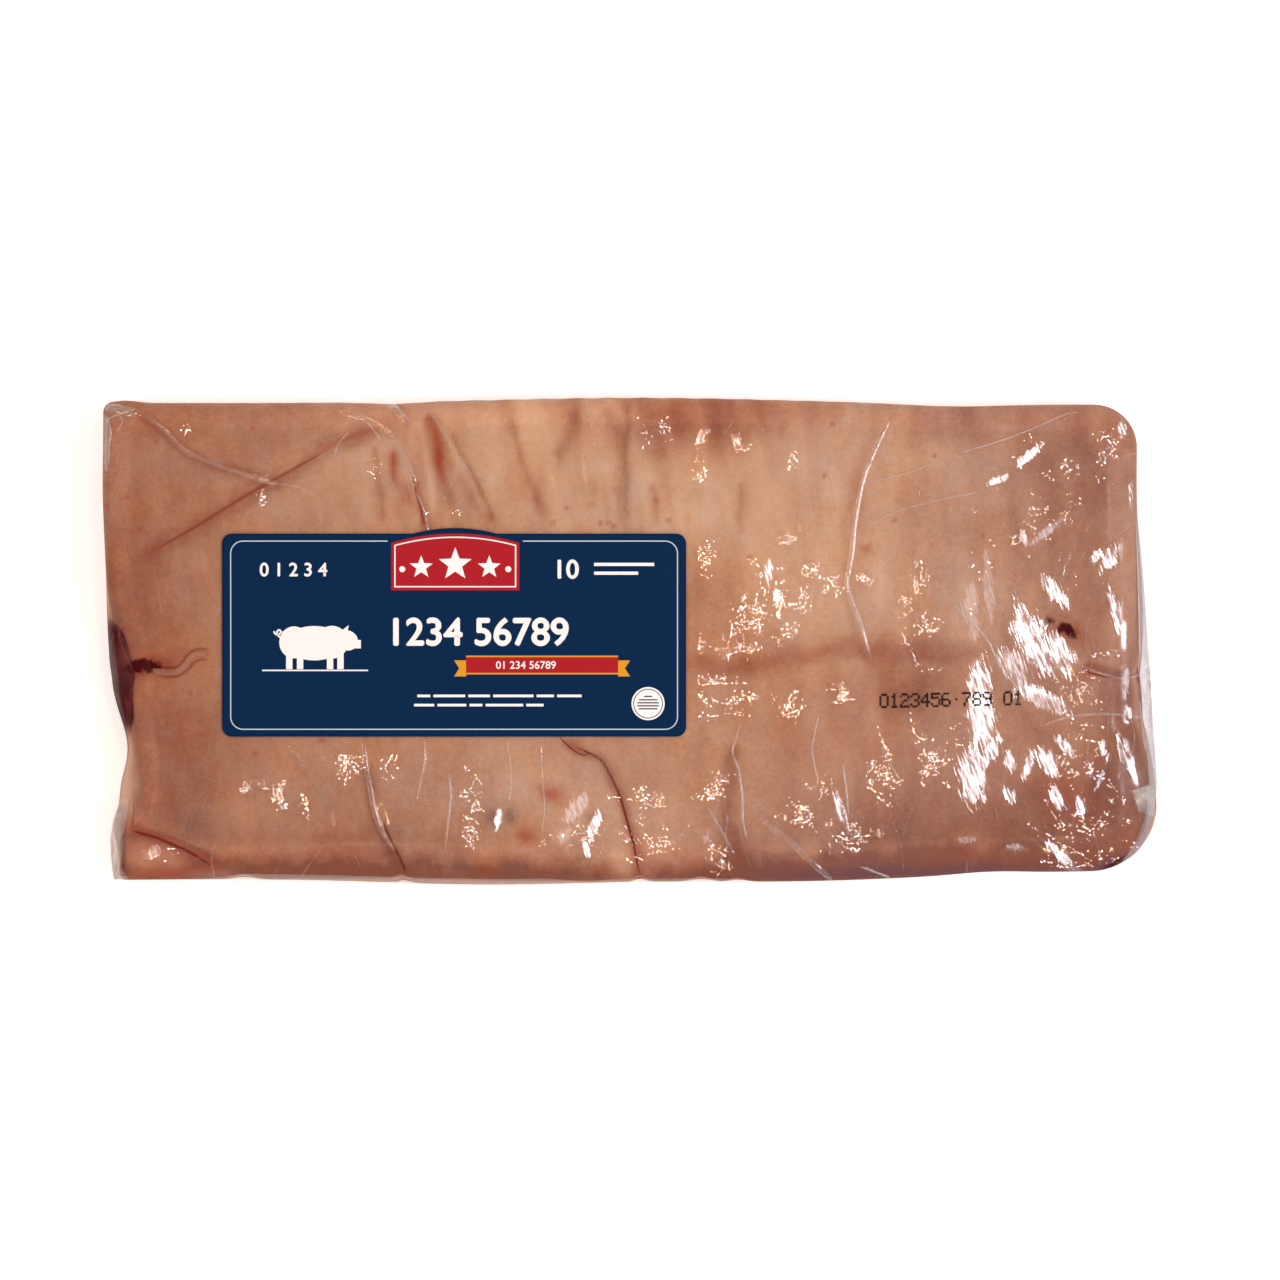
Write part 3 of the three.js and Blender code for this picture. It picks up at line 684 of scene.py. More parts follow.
# Lines in the skin: quality, strength, half width, path. Lines that darken the tone are painted shade in
# creases, pleats and along the flap's cut; pale lines are painted highlights on the ridges between
# pleats; flush lines redden creases and the flap's cut, partly as painted shade.
LINES = [
    ("tone", -0.18, 4.6, CREASES["long diagonal fold"][2]),
    ("flush", 0.4, 1.3, CREASES["long diagonal fold"][2]),
    ("tone", -0.2, 3.0, CREASES["corner fold"][2]),
    ("flush", 0.3, 1.4, CREASES["corner fold"][2]),
    ("tone", -0.22, 5.0, CREASES["cross valley"][2]),
    ("flush", 0.16, 4.0, CREASES["cross valley"][2]),
    ("tone", -0.3, 2.0, [(-1, 119), (-2, 90), (-1, 61)]),
    ("tone", -0.25, 1.8, [(11, 78), (13, 66), (13, 58)]),
    ("tone", -0.25, 1.8, [(55, 80), (55, 66), (54, 53)]),
    ("flush", 0.55, 1.7, [(-102.6, 112.6), (-98, 106.4), (-95.7, 95.5), (-94.9, 86.2), (-92.6, 77)]),
    ("tone", -0.3, 3.0, [(-102.6, 112.6), (-98, 106.4), (-95.7, 95.5), (-94.9, 86.2), (-92.6, 77),
        (-90, 66)]),
    ("pale", 0.5, 1.5, [(-95.7, 109.5), (-87.9, 92.4), (-78.6, 77), (-70.9, 63)]),
    ("tone", -0.35, 1.5, [(-90, 104), (-83.3, 89.3), (-74, 72.3), (-67.8, 58.3)]),
    ("pale", 0.5, 1.7, [(-106.5, 111), (-103.4, 100.2), (-101, 87.8), (-99.5, 73.8), (-98.8, 63)]),
    ("flush", 0.5, 1.2, [(-118.9, 96), (-118.9, 84), (-115, 73.8), (-112.7, 68)]),
    ("flush", 0.6, 1.2, [(-107, 80), (-105.7, 72.3), (-105, 63), (-103.4, 56)]),
    ("pale", 0.4, 1.6, [(-117.4, 101.7), (-112.7, 84.7), (-108, 69.2), (-106.5, 56.8)]),
    ("pale", 0.35, 2.2, [(-134, 96), (-132, 82), (-131, 68), (-130, 57)]),
    ("tone", -0.2, 1.6, [(-128, 98), (-127, 84), (-125, 70), (-124, 58)]),
    ("tone", -0.2, 1.4, [(-60, 112), (-56, 96), (-51, 82), (-45, 66)]),
    ("pale", 0.3, 1.6, [(-55, 112), (-51, 96), (-46, 82), (-40, 66)]),
    ("tone", -0.2, 3.0, CREASES["pleat, left"][2]),
    ("flush", 0.35, 1.6, CREASES["pleat, left"][2]),
    ("tone", -0.12, 2.4, CREASES["pleat, fanned"][2]),
    ("tone", -0.22, 1.8, [(-118, 118), (-114, 112), (-111, 106)]),
    ("tone", -0.22, 3.0, CREASES["pleat, middle"][2]),
    ("tone", -0.14, 4.0, CREASES["pleat, middle left"][2]),
    ("tone", -0.16, 4.0, CREASES["pleat, short"][2]),
    ("tone", -0.14, 4.0, CREASES["pleat, middle right"][2]),
    ("tone", -0.14, 3.0, CREASES["long pleat"][2]),
    ("tone", -0.3, 2.2, CREASES["front crack"][2]),
    ("flush", 0.4, 1.8, CREASES["front crack"][2]),
    ("tone", -0.2, 2.2, CREASES["front left crack"][2]),
    ("tone", -0.28, 3.5, CREASES["front valley"][2]),
    # Painted shadow under the flap's cut, a dark red line.
    ("flush", 0.75, 1.8, FLAP_CUT),
    ("tone", -0.5, 3.4, FLAP_CUT),
    ("tone", -0.3, 2.4, CREASES["right fold"][2]),
    ("tone", -0.35, 2.2, CREASES["blood slit"][2]),
]
LINE_STEPS = 24
LINE_WANDER = 9  # lines stray from their paths with bends about this long

# Upright bands, lighter and darker, where the skin is drawn into fine pleats: partly the skin's own tone
# and partly painted light and shade of the pleats.
PLEAT_BANDS = {"at": -10, "half": 120, "from": 30, "full": 60, "tone": 0.12}
RIGHT_BANDS = {"from": -60, "full": 40, "tone": 0.08}
MOST_PAINT = 1.6
LATTICE, LATTICE_START = (97, 89), 500


def soft_noise(x, y, size_x, size_y, salt):
    """Smooth noise from -1 to 1 with features size_x by size_y wide."""
    lattice = np.random.default_rng(SEED + salt).uniform(-1, 1, LATTICE)
    u, v = x / size_x + LATTICE_START, y / size_y + LATTICE_START
    i, j = np.floor(u).astype(int), np.floor(v).astype(int)
    s, t = smooth(u - i, 0, 1), smooth(v - j, 0, 1)

    def corner(a, b):
        return lattice[(i + a) % LATTICE[0], (j + b) % LATTICE[1]]

    near = corner(0, 0) * (1 - s) + corner(1, 0) * s
    far = corner(0, 1) * (1 - s) + corner(1, 1) * s
    return near * (1 - t) + far * t


def patch(x, y, middle, half, turn):
    """1 in the middle of an oval patch, fading out past its half lengths."""
    c, s = math.cos(math.radians(turn)), math.sin(math.radians(turn))
    dx, dy = x - middle[0], y - middle[1]
    return np.exp(-(((dx * c + dy * s) / half[0]) ** 2) - ((-dx * s + dy * c) / half[1]) ** 2)


def skin_qualities(x, y):
    """The skin's painted qualities at plan points, by name."""
    names = ("tone", "cool", "flush", "bruise", "blood", "ochre", "pale")
    found = {name: np.zeros(x.shape) for name in names}
    found["tone"] += BASE_TONE
    found["cool"] += BASE_COOL
    for quality, patches in PATCHES.items():
        for middle, half, turn, strength in patches:
            give = min(min(half) * PATCH_GIVE, MOST_GIVE)
            wx = x + give * soft_noise(x, y, give * 2.2, give * 2.2, 11)
            wy = y + give * soft_noise(x, y, give * 2.2, give * 2.2, 12)
            found[quality] += strength * patch(wx, wy, middle, half, turn)
    for middle in SPOTS:
        found["flush"] += SPOT_FLUSH * patch(x, y, middle, (SPOT_HALF, SPOT_HALF), 0)
    for quality, strength, half, points in LINES:
        wx = x + 0.5 * half * soft_noise(x, y, LINE_WANDER, LINE_WANDER, 13)
        wy = y + 0.5 * half * soft_noise(x, y, LINE_WANDER, LINE_WANDER, 14)
        distance, share, _ = along_path(spline(points, LINE_STEPS), wx, wy, half * CREASE_REACH)
        ends = smooth(share, 0, 0.1) * smooth(share, 1.05, 0.9)
        found[quality] += strength * bell(distance, 0, half) * ends
    bands = soft_noise(x + y * 0.2, y, 8, 60, 21) + 0.6 * soft_noise(x + y * 0.12, y, 4, 34, 22)
    over_middle = bell(x, PLEAT_BANDS["at"], PLEAT_BANDS["half"])
    over_middle = over_middle * smooth(y, PLEAT_BANDS["from"], PLEAT_BANDS["full"])
    found["tone"] += PLEAT_BANDS["tone"] * bands * over_middle
    bands = soft_noise(x + 0.1 * y, y, 9, 34, 23) * smooth(x, RIGHT_BANDS["from"], RIGHT_BANDS["full"])
    found["tone"] += RIGHT_BANDS["tone"] * bands
    return {name: np.clip(values, 0, MOST_PAINT) for name, values in found.items()}


# ---------------------------------------------------------------- the belly
BELLY_CELLS = (420, 208, 20)
FILM_THICKNESS = 0.35  # real film is 0.05 mm: drawn this thick, so that it stays clear of the belly

# Where the meat stops short of the film: edge, centre, half length, how far back.
MEAT_INSETS = [("right", -28, 34, 3.6), ("left", -110, 16, 4.2)]
CUT_EDGE, CUT_BLUR = 0.74, 0.02  # the rind ends at this share of the height, over this much of it
BARE_LEAN = {"at": -18, "half": 28, "edge": 0.955}  # lean laid bare at the left end, nearly to the top
STAIN_AND_SHADE_SIDES = {"from": 0.6, "to": 0.35, "lost": 0.75}  # blood, bruises and the front edge's painted shade fade down the cut sides


def move_along_normals(piece, distances):
    """Moves every point along its normal, in metres."""
    count = len(piece.data.vertices)
    normals, points = np.empty(count * 3), np.empty(count * 3)
    piece.data.vertices.foreach_get("normal", normals)
    piece.data.vertices.foreach_get("co", points)
    points += normals * np.repeat(np.broadcast_to(distances, count), 3)
    piece.data.vertices.foreach_set("co", points)
    piece.data.update()


def closed_wrap(name, cells, material, lowest, **form):
    """A closed piece of the wrap sheet and its base, and the sheet's plan points, heights and rings."""
    x, y, z, high, ring = wrap_sheet(*cells, **form)
    rows, columns = x.shape
    faces = sheet_faces(rows, columns) + [rim_loop(rows, columns)[::-1]]
    return make_piece(name, place(x, y, np.maximum(z, lowest)), faces, material), x, y, high, ring


def make_belly():
    """The belly itself, just inside the film, with its colours painted on its points, painted shade and
    highlights among them.
    """
    belly, x, y, high, ring = closed_wrap(
        "belly", BELLY_CELLS, pork_skin(), FILM_THICKNESS, insets=MEAT_INSETS)
    move_along_normals(belly, np.where(ring.ravel() > 0, -FILM_THICKNESS * MM, 0))
    for name, values in skin_qualities(x, y).items():
        if name in ("blood", "bruise"):
            down = smooth(high, STAIN_AND_SHADE_SIDES["from"], STAIN_AND_SHADE_SIDES["to"])
            values = values * (1 - STAIN_AND_SHADE_SIDES["lost"] * down)
        set_attribute(belly, name, values)
    at_left = bell(y, BARE_LEAN["at"], BARE_LEAN["half"]) * (x < -200)
    edge = CUT_EDGE + (BARE_LEAN["edge"] - CUT_EDGE) * smooth(at_left, 0.25, 0.6)
    set_attribute(belly, "high", high)
    set_attribute(belly, "cut_side", 1 - smooth(high, edge - CUT_BLUR, edge + CUT_BLUR))
    set_attribute(belly, "bare_lean", smooth(at_left, 0.2, 0.5))
    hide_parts("belly_slab")
    return belly


# ---------------------------------------------------------------- the film
FILM_CELLS = (420, 208, 20)
FILM_DEPTH_SHARE = 0.12  # the film bridges the creases
FILM_SWELL = 0.06  # height of the film's low waves
RIPPLES = {"least": 0.2, "more": 0.25, "from": 60, "full": 200}  # stronger towards the right end
LEAST_VEIL, SIDE_VEIL = 0.001, 0.004
CALM_AT_CUT = 7  # film is calm within this of the flap's cut, and over this many cells along the rim
CALM_CELLS = 9

# Where the film is finely crinkled, so that it sparkles: middle, half lengths, turn, how strong.
CRINKLES = [
    ((-141, -61), (6, 9), 0, 1), ((-177, -77), (5, 6), 0, 1), ((-163, -81), (2.4, 6), 0, 1),
    ((-121, -62), (4, 5), 0, 0.8), ((-79, -86), (5, 18), 0, 0.8), ((16, 106), (4, 5), 0, 0.8),
    ((34, 103), (4, 5), 0, 0.8), ((53, 99), (4, 7), 0, 0.8), ((81, 88), (4, 5), 0, 0.6),
    ((-184, 75), (3, 8), 0, 0.7), ((-128, 84), (3, 3), 0, 0.8), ((-222, 104), (3, 3), 0, 0.7),
    ((-178, -52), (3, 3), 0, 1), ((-130, 91), (2, 3), 0, 0.8), ((-88, 61), (5, 3), 0, 0.9),
    ((-236, -108), (8, 3), 0, 0.8), ((-192, -75), (5, 4), 0, 0.7), ((-206, -45), (3, 3), 0, 0.6),
    ((81, 52), (6, 4), 0, 0.9), ((37, 42), (8, 6), 0, 1), ((90, 35), (5, 4), 0, 1),
    ((100, 28), (6, 6), 0, 1), ((83, 18), (6, 6), 0, 1), ((81, 5), (5, 6), 0, 0.9),
    ((51, -4), (9, 5), 0, 1), ((32, -4), (7, 5), 0, 1), ((117, 30), (6, 4), 0, 1),
    ((144, 30), (4, 7), 0, 1), ((139, 18), (4, 5), 0, 1), ((149, 6), (8, 6), 0, 0.9),
    ((56, 12), (3, 14), -12, 1), ((64, 14), (3, 16), -10, 1), ((74, 20), (3, 16), 0, 0.8),
    ((40, -20), (10, 3), 0, 0.8), ((34, -30), (4, 6), 0, 0.7), ((78, -33), (5, 7), 0, 0.8),
    ((105, -28), (6, 6), 0, 1), ((60, -29), (12, 3), 0, 0.8), ((105, -100), (12, 7), 0, 0.6),
    ((41, -75), (10, 6), 0, 0.9), ((8, -78), (9, 3), -10, 1), ((84, -88), (6, 8), 0, 1),
    ((126, -68), (8, 8), 0, 0.9), ((97, -76), (6, 5), 0, 0.8), ((150, -62), (8, 10), 0, 0.8),
    ((118, -97), (14, 3), 0, 0.8), ((168, -50), (12, 10), 0, 0.2), ((232, -95), (24, 18), 0, 0.16),
    ((222, -60), (14, 14), 0, 0.3), ((205, 60), (40, 40), 0, 0.05), ((238, 98), (6, 8), 0, 0.9),
    ((225, -24), (14, 10), 0, 0.4), ((220, 88), (6, 6), 0, 0.8), ((-25, -100), (10, 8), 0, 0.6),
    ((8, -102), (14, 8), 0, 0.6), ((44, -108), (8, 6), 0, 0.6), ((-104, 57), (8, 5), 0, 0.5),
    ((20, 52), (5, 8), 0, 0.6), ((33, 80), (5, 8), 0, 0.6),
]

# Panes of the film that face the window: middle, half lengths, turn.
PANES = [
    ((201, 0), (8, 22), 26), ((214, -7), (7, 13), 25), ((192, -14), (6, 13), 35),
    ((205, -29), (5, 17), 62), ((174, -24), (6, 17), -4), ((176, -40), (8, 18), 3),
    ((171, -68), (8, 17), 0), ((180, -56), (4, 10), -20), ((170, 18), (4.4, 11), -6),
    ((179, 26), (3, 17), 3), ((243, 12), (2.6, 14), 16), ((248, -20), (1.6, 8), -4),
    ((240, 41), (4, 8), -25), ((233, 42), (2.4, 4), -30), ((212, 24), (4, 11), 40),
    ((209, -61), (5, 10), 32), ((199, -62), (2.4, 9), -18), ((217, -53), (2.4, 9), 42),
    ((190, -61), (3.4, 6), 10), ((248, -59), (2.6, 12), 24), ((213, -79), (3, 8), 24),
    ((225, -84), (2.6, 7), 8), ((214, -107), (3, 12), 48), ((190, -78), (3, 6), 30),
    ((199, 92), (2.6, 10), -48), ((184, 80), (2, 6), -70), ((208, 54), (2, 12), -52),
    ((172, 6), (3, 8), 0), ((192, -104), (5, 2.6), -10), ((168, -100), (6, 2), 0),
    ((197, 50), (2, 5), 20), ((246, 106), (2, 4), 20), ((-27, -84), (4.6, 11), -38),
    ((-18, -92), (3, 8), -25), ((-33, -98), (3, 6), -35), ((69, 34), (2.4, 7), 0),
    ((73, 22), (1.8, 5), 0), ((-66, -90), (2, 6), -10), ((104, -84), (1.6, 9), 16),
    ((-22, -105), (2, 6), 14), ((38, -99), (1.4, 4), 0), ((250, 72), (1.2, 8), 0),
    ((249, -37), (2.2, 4), 0),
]

# Where panes are dulled by more haze and less gloss: middle, half lengths, turn, how much.
DULL_PANES = [
    ((170, 18), (9, 16), -6, 0.62), ((180, 26), (7, 20), 3, 0.6), ((172, 5), (6, 8), 0, 0.55),
    ((192, -14), (8, 10), 35, 0.35), ((207, -36), (7, 12), 62, 0.4), ((-27, -84), (8, 14), -38, 0.5),
    ((-33, -98), (5, 9), -35, 0.6), ((38, -99), (4, 7), 0, 0.6), ((208, 54), (4, 15), -52, 0.5),
    ((192, -104), (8, 5), -10, 0.5), ((168, -100), (9, 5), 0, 0.6), ((248, -20), (4, 10), -4, 0.4),
]

# Creases of the film that sparkle along their length: paths.
SPARK_LINES = [
    [(61, 40), (65, 35), (64, 26), (62, 17), (60, 10), (56, 3)], [(57, 22), (55, 14), (51, 8), (50, 2)],
    [(74, 38), (73, 28), (74, 18), (74, 10)], [(34, -23), (42, -21.5), (50, -22), (58, -21)],
    [(29, -32), (38, -29.5), (48, -32), (57, -28)], [(29, -38.5), (42, -38), (51, -37), (59, -37)],
    [(75, -36), (80, -38.5), (85, -36), (86, -29.5)], [(136, 3), (140, -4), (144, -12), (152, -15)],
    [(140, -36), (141, -44), (145, -49), (152, -50)], [(123, -42), (126, -50), (129.5, -58)],
    [(207, -80), (214, -90), (226, -96), (236, -92)], [(198, -92), (210, -98), (222, -106), (236, -108)],
    [(215, -68), (226, -66), (240, -72), (247, -82)],
    [(206, -110), (220, -114), (234, -110), (246, -100)], [(232, -10), (240, -6), (246, -9)],
    [(216, -36), (226, -42), (238, -44)], [(150, -56), (153, -64), (158, -74)],
    [(118, -66), (122, -76), (130, -84)], [(-12, -78), (2, -80), (16, -79)],
    [(-188, -70), (-180, -76), (-172, -84)], [(-146, -52), (-141, -62), (-143, -72)],
    [(4, 112), (8, 104), (6, 96)],
]
SPARKS_PER_MM = 2.2

# Facets: how many, sizes, how long against their width, spread of their lean, and how they bunch.
FACETS = {
    "per_mm2": 1.0, "radius": 0.17, "unlike": 0.35, "long": (1, 3), "corners": 6,
    "spread": 0.022, "bunch": 8, "bunch_half": 1.4, "lift": 0.2,
}
WINDOW_SHARE = 0.44  # of the facets lean to the window, and the others to the lamps, evenly

# Veils of haze: middle, half lengths, turn, how thick.
VEILS = [
    ((-257, 113), (6, 3), 0, 0.06), ((-262.5, 98), (1.6, 14), 0, 0.12), ((-208, -118), (14, 3), 0, 0.16),
    ((-115, 113), (5, 3), 0, 0.05), ((-103, 113), (5, 3), -30, 0.05), ((-132, 58), (5, 20), 10, 0.14),
    ((-82, 60), (4, 22), 10, 0.12), ((-28, 58), (3, 22), 8, 0.14), ((0, 58), (2, 30), 0, 0.12),
    ((166, 20), (14, 26), 0, 0.07), ((250, 10), (12, 60), 0, 0.05), ((250, -90), (12, 40), 0, 0.04),
    ((120, -80), (60, 30), 0, 0.05), ((253, -68), (8, 10), 0, 0.12), ((-18, -70), (14, 30), 0, 0.08),
]


def summed(x, y, rows):
    """The sum of patches, each given by middle, half lengths, turn and strength."""
    total = np.zeros(x.shape)
    for middle, half, turn, strength in rows:
        total += strength * patch(x, y, middle, half, turn)
    return total


def facing(lamp, x, y):
    """The way film at a plan point faces when it mirrors a lamp to an eye straight above, as x, y, 1."""
    points = np.stack([x, y, np.full(x.shape, THICKNESS)], -1)
    ways = [np.array(lamp[0]) - points, np.array((VIEW_MIDDLE, 0, CAMERA_HEIGHT)) - points]
    both = sum(way / np.linalg.norm(way, axis=-1, keepdims=True) for way in ways)
    return both / both[..., 2:]


def make_film():
    """The clear film over the belly, in the solid's own form, with panes, haze and calm painted on it."""
    film, x, y, high, _ = closed_wrap(
        "shrink_film", FILM_CELLS, clear_film(), 0, depth_share=FILM_DEPTH_SHARE)
    bare = 1 - under_label(x, y)
    on_top = smooth(high, 0.7, 0.95)
    to_right = smooth(x, RIPPLES["from"], RIPPLES["full"])
    lift = FILM_SWELL * (0.5 + to_right) * soft_noise(x + 0.3 * y, y, 6, 13, 31)
    move_along_normals(film, (lift * on_top * bare).ravel() * MM)
    set_attribute(film, "ripple", (RIPPLES["least"] + RIPPLES["more"] * to_right) * bare)
    pane = np.zeros(x.shape)
    for middle, half, turn in PANES:
        pane = np.maximum(pane, patch(x, y, middle, half, turn))
    set_attribute(film, "pane", pane * bare)
    ways = film.data.attributes.new("facing", "FLOAT_VECTOR", "POINT")
    ways.data.foreach_set("vector", np.ascontiguousarray(facing(WINDOW, x, y), dtype=np.float32).ravel())
    veil = LEAST_VEIL + summed(x, y, VEILS) + SIDE_VEIL * smooth(high, 0.97, 0.6)
    set_attribute(film, "veil", np.clip(veil, 0, 0.9) * bare)
    i, j = np.indices(x.shape)
    from_rim = np.minimum.reduce([i, i[::-1], j, j[:, ::-1]]) - FILM_CELLS[2]
    near_cut, _, _ = along_path(spline(FLAP_CUT, CREASE_STEPS), x, y)
    calm = smooth(from_rim, CALM_CELLS, 1) * smooth(high, 0.5, 0.62) * (1 - smooth(pane, 0.1, 0.3))
    calm = np.maximum(calm, bell(near_cut, 0, CALM_AT_CUT))
    for middle, half, turn, dull in DULL_PANES:
        calm = np.maximum(calm, dull * smooth(patch(x, y, middle, half, turn), 0.1, 0.5))
    set_attribute(film, "calm", calm)
    return film


def crinkle_spots(draw):
    """Where facets lie and how they turn: in bunches over the crinkles, then along sparkling creases."""
    spots = []
    for middle, half, turn, strength in CRINKLES:
        c, s = math.cos(math.radians(turn)), math.sin(math.radians(turn))
        bunches = FACETS["per_mm2"] * math.pi * half[0] * half[1] * strength / FACETS["bunch"]
        for _ in range(max(1, round(bunches))):
            u, v = draw.normal(0, 0.5, 2) * half
            turn = draw.normal(0.1, 0.7)
            for _ in range(draw.poisson(FACETS["bunch"])):
                dx, dy = draw.normal(0, FACETS["bunch_half"], 2)
                x, y = middle[0] + u * c - v * s + dx, middle[1] + u * s + v * c + dy
                spots.append((x, y, turn + draw.normal(0, 0.5)))
    for path in SPARK_LINES:
        line = spline(path, 60)
        length = np.hypot(*np.diff(line, axis=0).T).sum()
        ahead = np.gradient(line, axis=0)
        for at in draw.integers(0, len(line), round(length * SPARKS_PER_MM)):
            stray = math.sin(at * 0.55 + path[0][0]) < -0.3
            x, y = line[at] + draw.normal(0, 1.5 if stray else 0.25, 2)
            across = math.atan2(-ahead[at][0], ahead[at][1])
            spots.append((x, y, across + draw.normal(0, 0.5 if stray else 0.12)))
    return np.array(spots).T


def make_film_facets(over_film):
    """Small flat facets of crinkled film, in bunches and along creases. Each leans nearly to a lamp."""
    draw = np.random.default_rng(SEED + 1)
    x, y, turns = crinkle_spots(draw)
    keep = under_label(x, y) < 0.05
    x, y, turns = x[keep], y[keep], turns[keep]
    lamps = [WINDOW] + CEILING_LAMPS
    others = (1 - WINDOW_SHARE) / len(CEILING_LAMPS)
    choice = draw.choice(len(lamps), x.size, p=[WINDOW_SHARE] + [others] * len(CEILING_LAMPS))
    ways = np.zeros((x.size, 3))
    for count, lamp in enumerate(lamps):
        ways = np.where((choice == count)[:, None], facing(lamp, x, y), ways)
    ways[:, :2] += draw.normal(0, FACETS["spread"], (x.size, 2))
    corners = FACETS["corners"]
    angle = np.arange(corners) + draw.uniform(-0.3, 0.3, (x.size, corners))
    angle = angle * (2 * math.pi / corners)
    radius = FACETS["radius"] * np.exp(draw.normal(0, FACETS["unlike"], (x.size, 1)))
    radius = radius * draw.uniform(0.7, 1.1, angle.shape)
    u, v = radius * np.cos(angle), radius * np.sin(angle) * draw.uniform(*FACETS["long"], (x.size, 1))
    lean = turns[:, None]
    dx, dy = u * np.cos(lean) - v * np.sin(lean), u * np.sin(lean) + v * np.cos(lean)
    dz = -(ways[:, :1] * dx + ways[:, 1:2] * dy)
    height = over_film(x, y) + FACETS["lift"]
    points = place(x[:, None] + dx, y[:, None] + dy, height[:, None] + dz)
    faces = np.arange(x.size * corners).reshape(-1, corners)
    facets = make_piece("film_facets", points, faces.tolist(), flat_film(), smooth_shaded=False)


def height_over(piece):
    """A function that gives the piece's height, in mm, at plan points."""
    points = [v.co[:] for v in piece.data.vertices]
    tree = BVHTree.FromPolygons(points, [p.vertices[:] for p in piece.data.polygons])
    down = Vector((0, 0, -1))

    def height(x, y):
        above = place(x, y, 100.0 + 0 * x).reshape(-1, 3)
        hits = [tree.ray_cast(Vector(point), down)[0] for point in above]
        return np.array([hit.z / MM if hit else 0.0 for hit in hits]).reshape(x.shape)

    return height


# ---------------------------------------------------------------- bands laid along paths
def band(points, half, steps=48, across=8, taper=0.2, blunt=0.15):
    """Plan points of a band along a path: x, y, share along it, and place across from -1 to 1."""
    path = spline(points, steps)
    ahead = np.gradient(path, axis=0)
    ahead /= np.hypot(ahead[:, 0], ahead[:, 1])[:, None]
    share = np.linspace(0, 1, steps + 1)
    width = half * (blunt + (1 - blunt) * np.sqrt(np.clip(from_ends(share) / taper, 0, 1)))
    side = np.linspace(-1, 1, across + 1)
    offset = width[:, None] * side
    x = path[:, :1] - ahead[:, 1:] * offset
    y = path[:, 1:] + ahead[:, :1] * offset
    return x, y, share[:, None] + 0 * offset, side + 0 * offset


def from_ends(share):
    """How far a share of a length is from the nearer end."""
    return np.minimum(share, 1 - share)


def make_joined(name, grids, material):
    """One piece of many grids of points: x, y and z, then the veil painted on it."""
    points, faces, veils, start = [], [], [], 0
    for x, y, z, veil in grids:
        points.append(place(x, y, z).reshape(-1, 3))
        faces += [[start + corner for corner in face] for face in sheet_faces(*x.shape)]
        veils.append(veil.ravel())
        start += x.size
    piece = make_piece(name, np.concatenate(points), faces, material)
    set_attribute(piece, "veil", np.concatenate(veils))
    return piece


